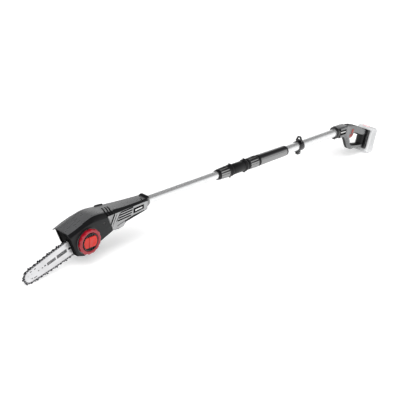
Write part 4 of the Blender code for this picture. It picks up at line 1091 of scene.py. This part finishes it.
def build_dock_and_battery():
    """The battery with its latch, and the dock that it slides on."""
    bm = slab(rect(-14, -40, 0, 38), -25, 25, [5, 3, 3, 5], top=2.5, foot=2.5, place=dock_place,
        steps=4)
    tongue = slab(rect(-2, -36, 5.5, 34), -18, 18, top=0.8, foot=0.8, place=dock_place, steps=2)
    cutters = []
    for k in range(4):
        up = -28 + 16 * k
        cutters.append(groove((-9.5, up), (-9.5, up + 10), 2, 24.2, 30, dock_place))
        cutters.append(groove((-5, up), (-5, up + 10), 1.2, 24.4, 30, dock_place))
    bm = carve(carve(bm, cutters), [tongue], "UNION")
    piece("dock_shell", bm, BLACK, "handle", "battery_dock", smooth=32)

    rounds = [4, 1, 1, 3, 4, 8, 8, 3, 3]
    bm = slab(battery_outline(), -33, 33, rounds, top=4, foot=4, place=dock_place, steps=6)
    channel = slab(rect(-2, -62, 6.2, 35), -18.6, 18.6, place=dock_place)
    bay = slab(rect(-7, 42.4, 7, 60), -15.6, 15.6, place=dock_place)
    cutters = [channel, bay]
    for out in (11, 20, 29):
        for low, high in ((31.8, 40), (-40, -31.8)):
            cutters.append(groove((out, -40), (out, 30), 2.6, low, high, dock_place))
    for k in range(5):
        up = -30 + 13 * k
        cutters.append(slab(rect(38.6, up, 44, up + 3), -22, 22, place=dock_place))
    piece("battery_shell", carve(bm, cutters), GHOST, "battery", "battery_case", smooth=32)
    latch = [(-6.6, 46), (6.6, 46), (6, 53), (-6, 53)]
    bm = slab(latch, -15.2, 15.2, 1.8, top=1.6, foot=1.6, place=dock_place, steps=4)
    ridges = [groove((out, 53.2), (out + 0.1, 53.2), 1.2, -12, 12, dock_place)
              for out in (-4.5, -1.5, 1.5, 4.5)]
    bm = carve(bm, ridges)
    piece("battery_latch_rounded", bm, PINK, "battery_latch", "battery_latch", smooth=32)


# ---------- rest of the CAD nodes

def dress_cad_nodes():
    """Give the CAD nodes that stay in view the finish of their slot."""
    slots = {s["node"]: s["material_slot"] for s in frame["record"]["subparts"]}
    for name, node in NODES.items():
        material = SLOTS[slots[name]][0]
        if not node.data.materials:
            node.data.materials.append(material)
        for k in range(len(node.data.materials)):
            node.data.materials[k] = material


# ---------- stage

def build_stage():
    """Pale floor, soft studio light and the camera solved from the photograph."""
    mesh = bpy.data.meshes.new("floor")
    bm = bmesh.new()
    ops.create_grid(bm, x_segments=1, y_segments=1, size=30.0)
    bm.to_mesh(mesh)
    bm.free()
    floor = add_object("floor", mesh)
    look = Look("pale_floor", (0.92, 0.92, 0.92), 0.85)
    set_inputs(look.shader, Emission_Color=(1.0, 1.0, 1.0, 1.0), Emission_Strength=0.22)
    mesh.materials.append(look.tint(look.noise(3.0), 0.985, 1.01).made)

    world = bpy.data.worlds.new("studio")
    bpy.context.scene.world = world
    world.use_nodes = True
    tree = world.node_tree
    back = tree.nodes["Background"]
    place = tree.nodes.new("ShaderNodeTexCoord")
    parts = tree.nodes.new("ShaderNodeSeparateXYZ")
    ramp = tree.nodes.new("ShaderNodeValToRGB")
    stops = ramp.color_ramp.elements
    stops[0].position = 0.12
    stops[0].color = (1.0, 1.0, 1.0, 1.0)
    stops[1].position = 1.0
    stops[1].color = (0.05, 0.05, 0.052, 1.0)
    for position, level in ((0.34, 0.9), (0.48, 0.3), (0.62, 0.08)):
        stops.new(position).color = (level, level, level, 1.0)
    tree.links.new(place.outputs["Generated"], parts.inputs["Vector"])
    tree.links.new(parts.outputs["Z"], ramp.inputs["Fac"])
    tree.links.new(ramp.outputs["Color"], back.inputs["Color"])
    set_inputs(back, Strength=1.0)

    data = bpy.data.lights.new("key", "SUN")
    data.energy = 3.9
    data.angle = radians(75.0)
    lamp = add_object("key", data)
    lamp.visible_glossy = False
    lamp.rotation_euler = Vector((0.5, 0.45, -0.74)).to_track_quat("-Z", "Y").to_euler()

    # Angles in radians, focal length in pixels, distance in millimetres, and the pixel on which
    # the pole's origin falls
    azimuth, height, roll = -0.81975, 0.421986, radians(3.0)
    focal, distance, centre, frame_size = 973.443, 3380.79, (216.1, 175.2), 400.0
    back_way = Vector((sin(azimuth) * cos(height), -cos(azimuth) * cos(height), sin(height)))
    level = Vector((cos(azimuth), sin(azimuth), 0.0))
    up = back_way.cross(level)
    right = cos(roll) * level + sin(roll) * up
    over = -sin(roll) * level + cos(roll) * up
    across = (centre[0] - frame_size / 2) / focal * distance
    above = -(centre[1] - frame_size / 2) / focal * distance
    data = bpy.data.cameras.new("camera")
    data.lens = focal / frame_size * data.sensor_width
    data.clip_end = 60.0
    camera = add_object("camera", data)
    turn = Matrix((right, over, back_way)).transposed().to_4x4()
    turn.translation = spot(*(-(right * across + over * above - back_way * distance)))
    camera.matrix_world = turn
    bpy.context.scene.camera = camera
    bpy.context.scene.view_settings.view_transform = "Standard"


build_pole()
build_lock()
build_strap_ring()
build_roof()
build_housing()
build_cover()
build_bar()
build_chain()
build_knob()
build_handle()
build_grip_pad()
build_handle_fittings()
build_dock_and_battery()
dress_cad_nodes()
build_stage()
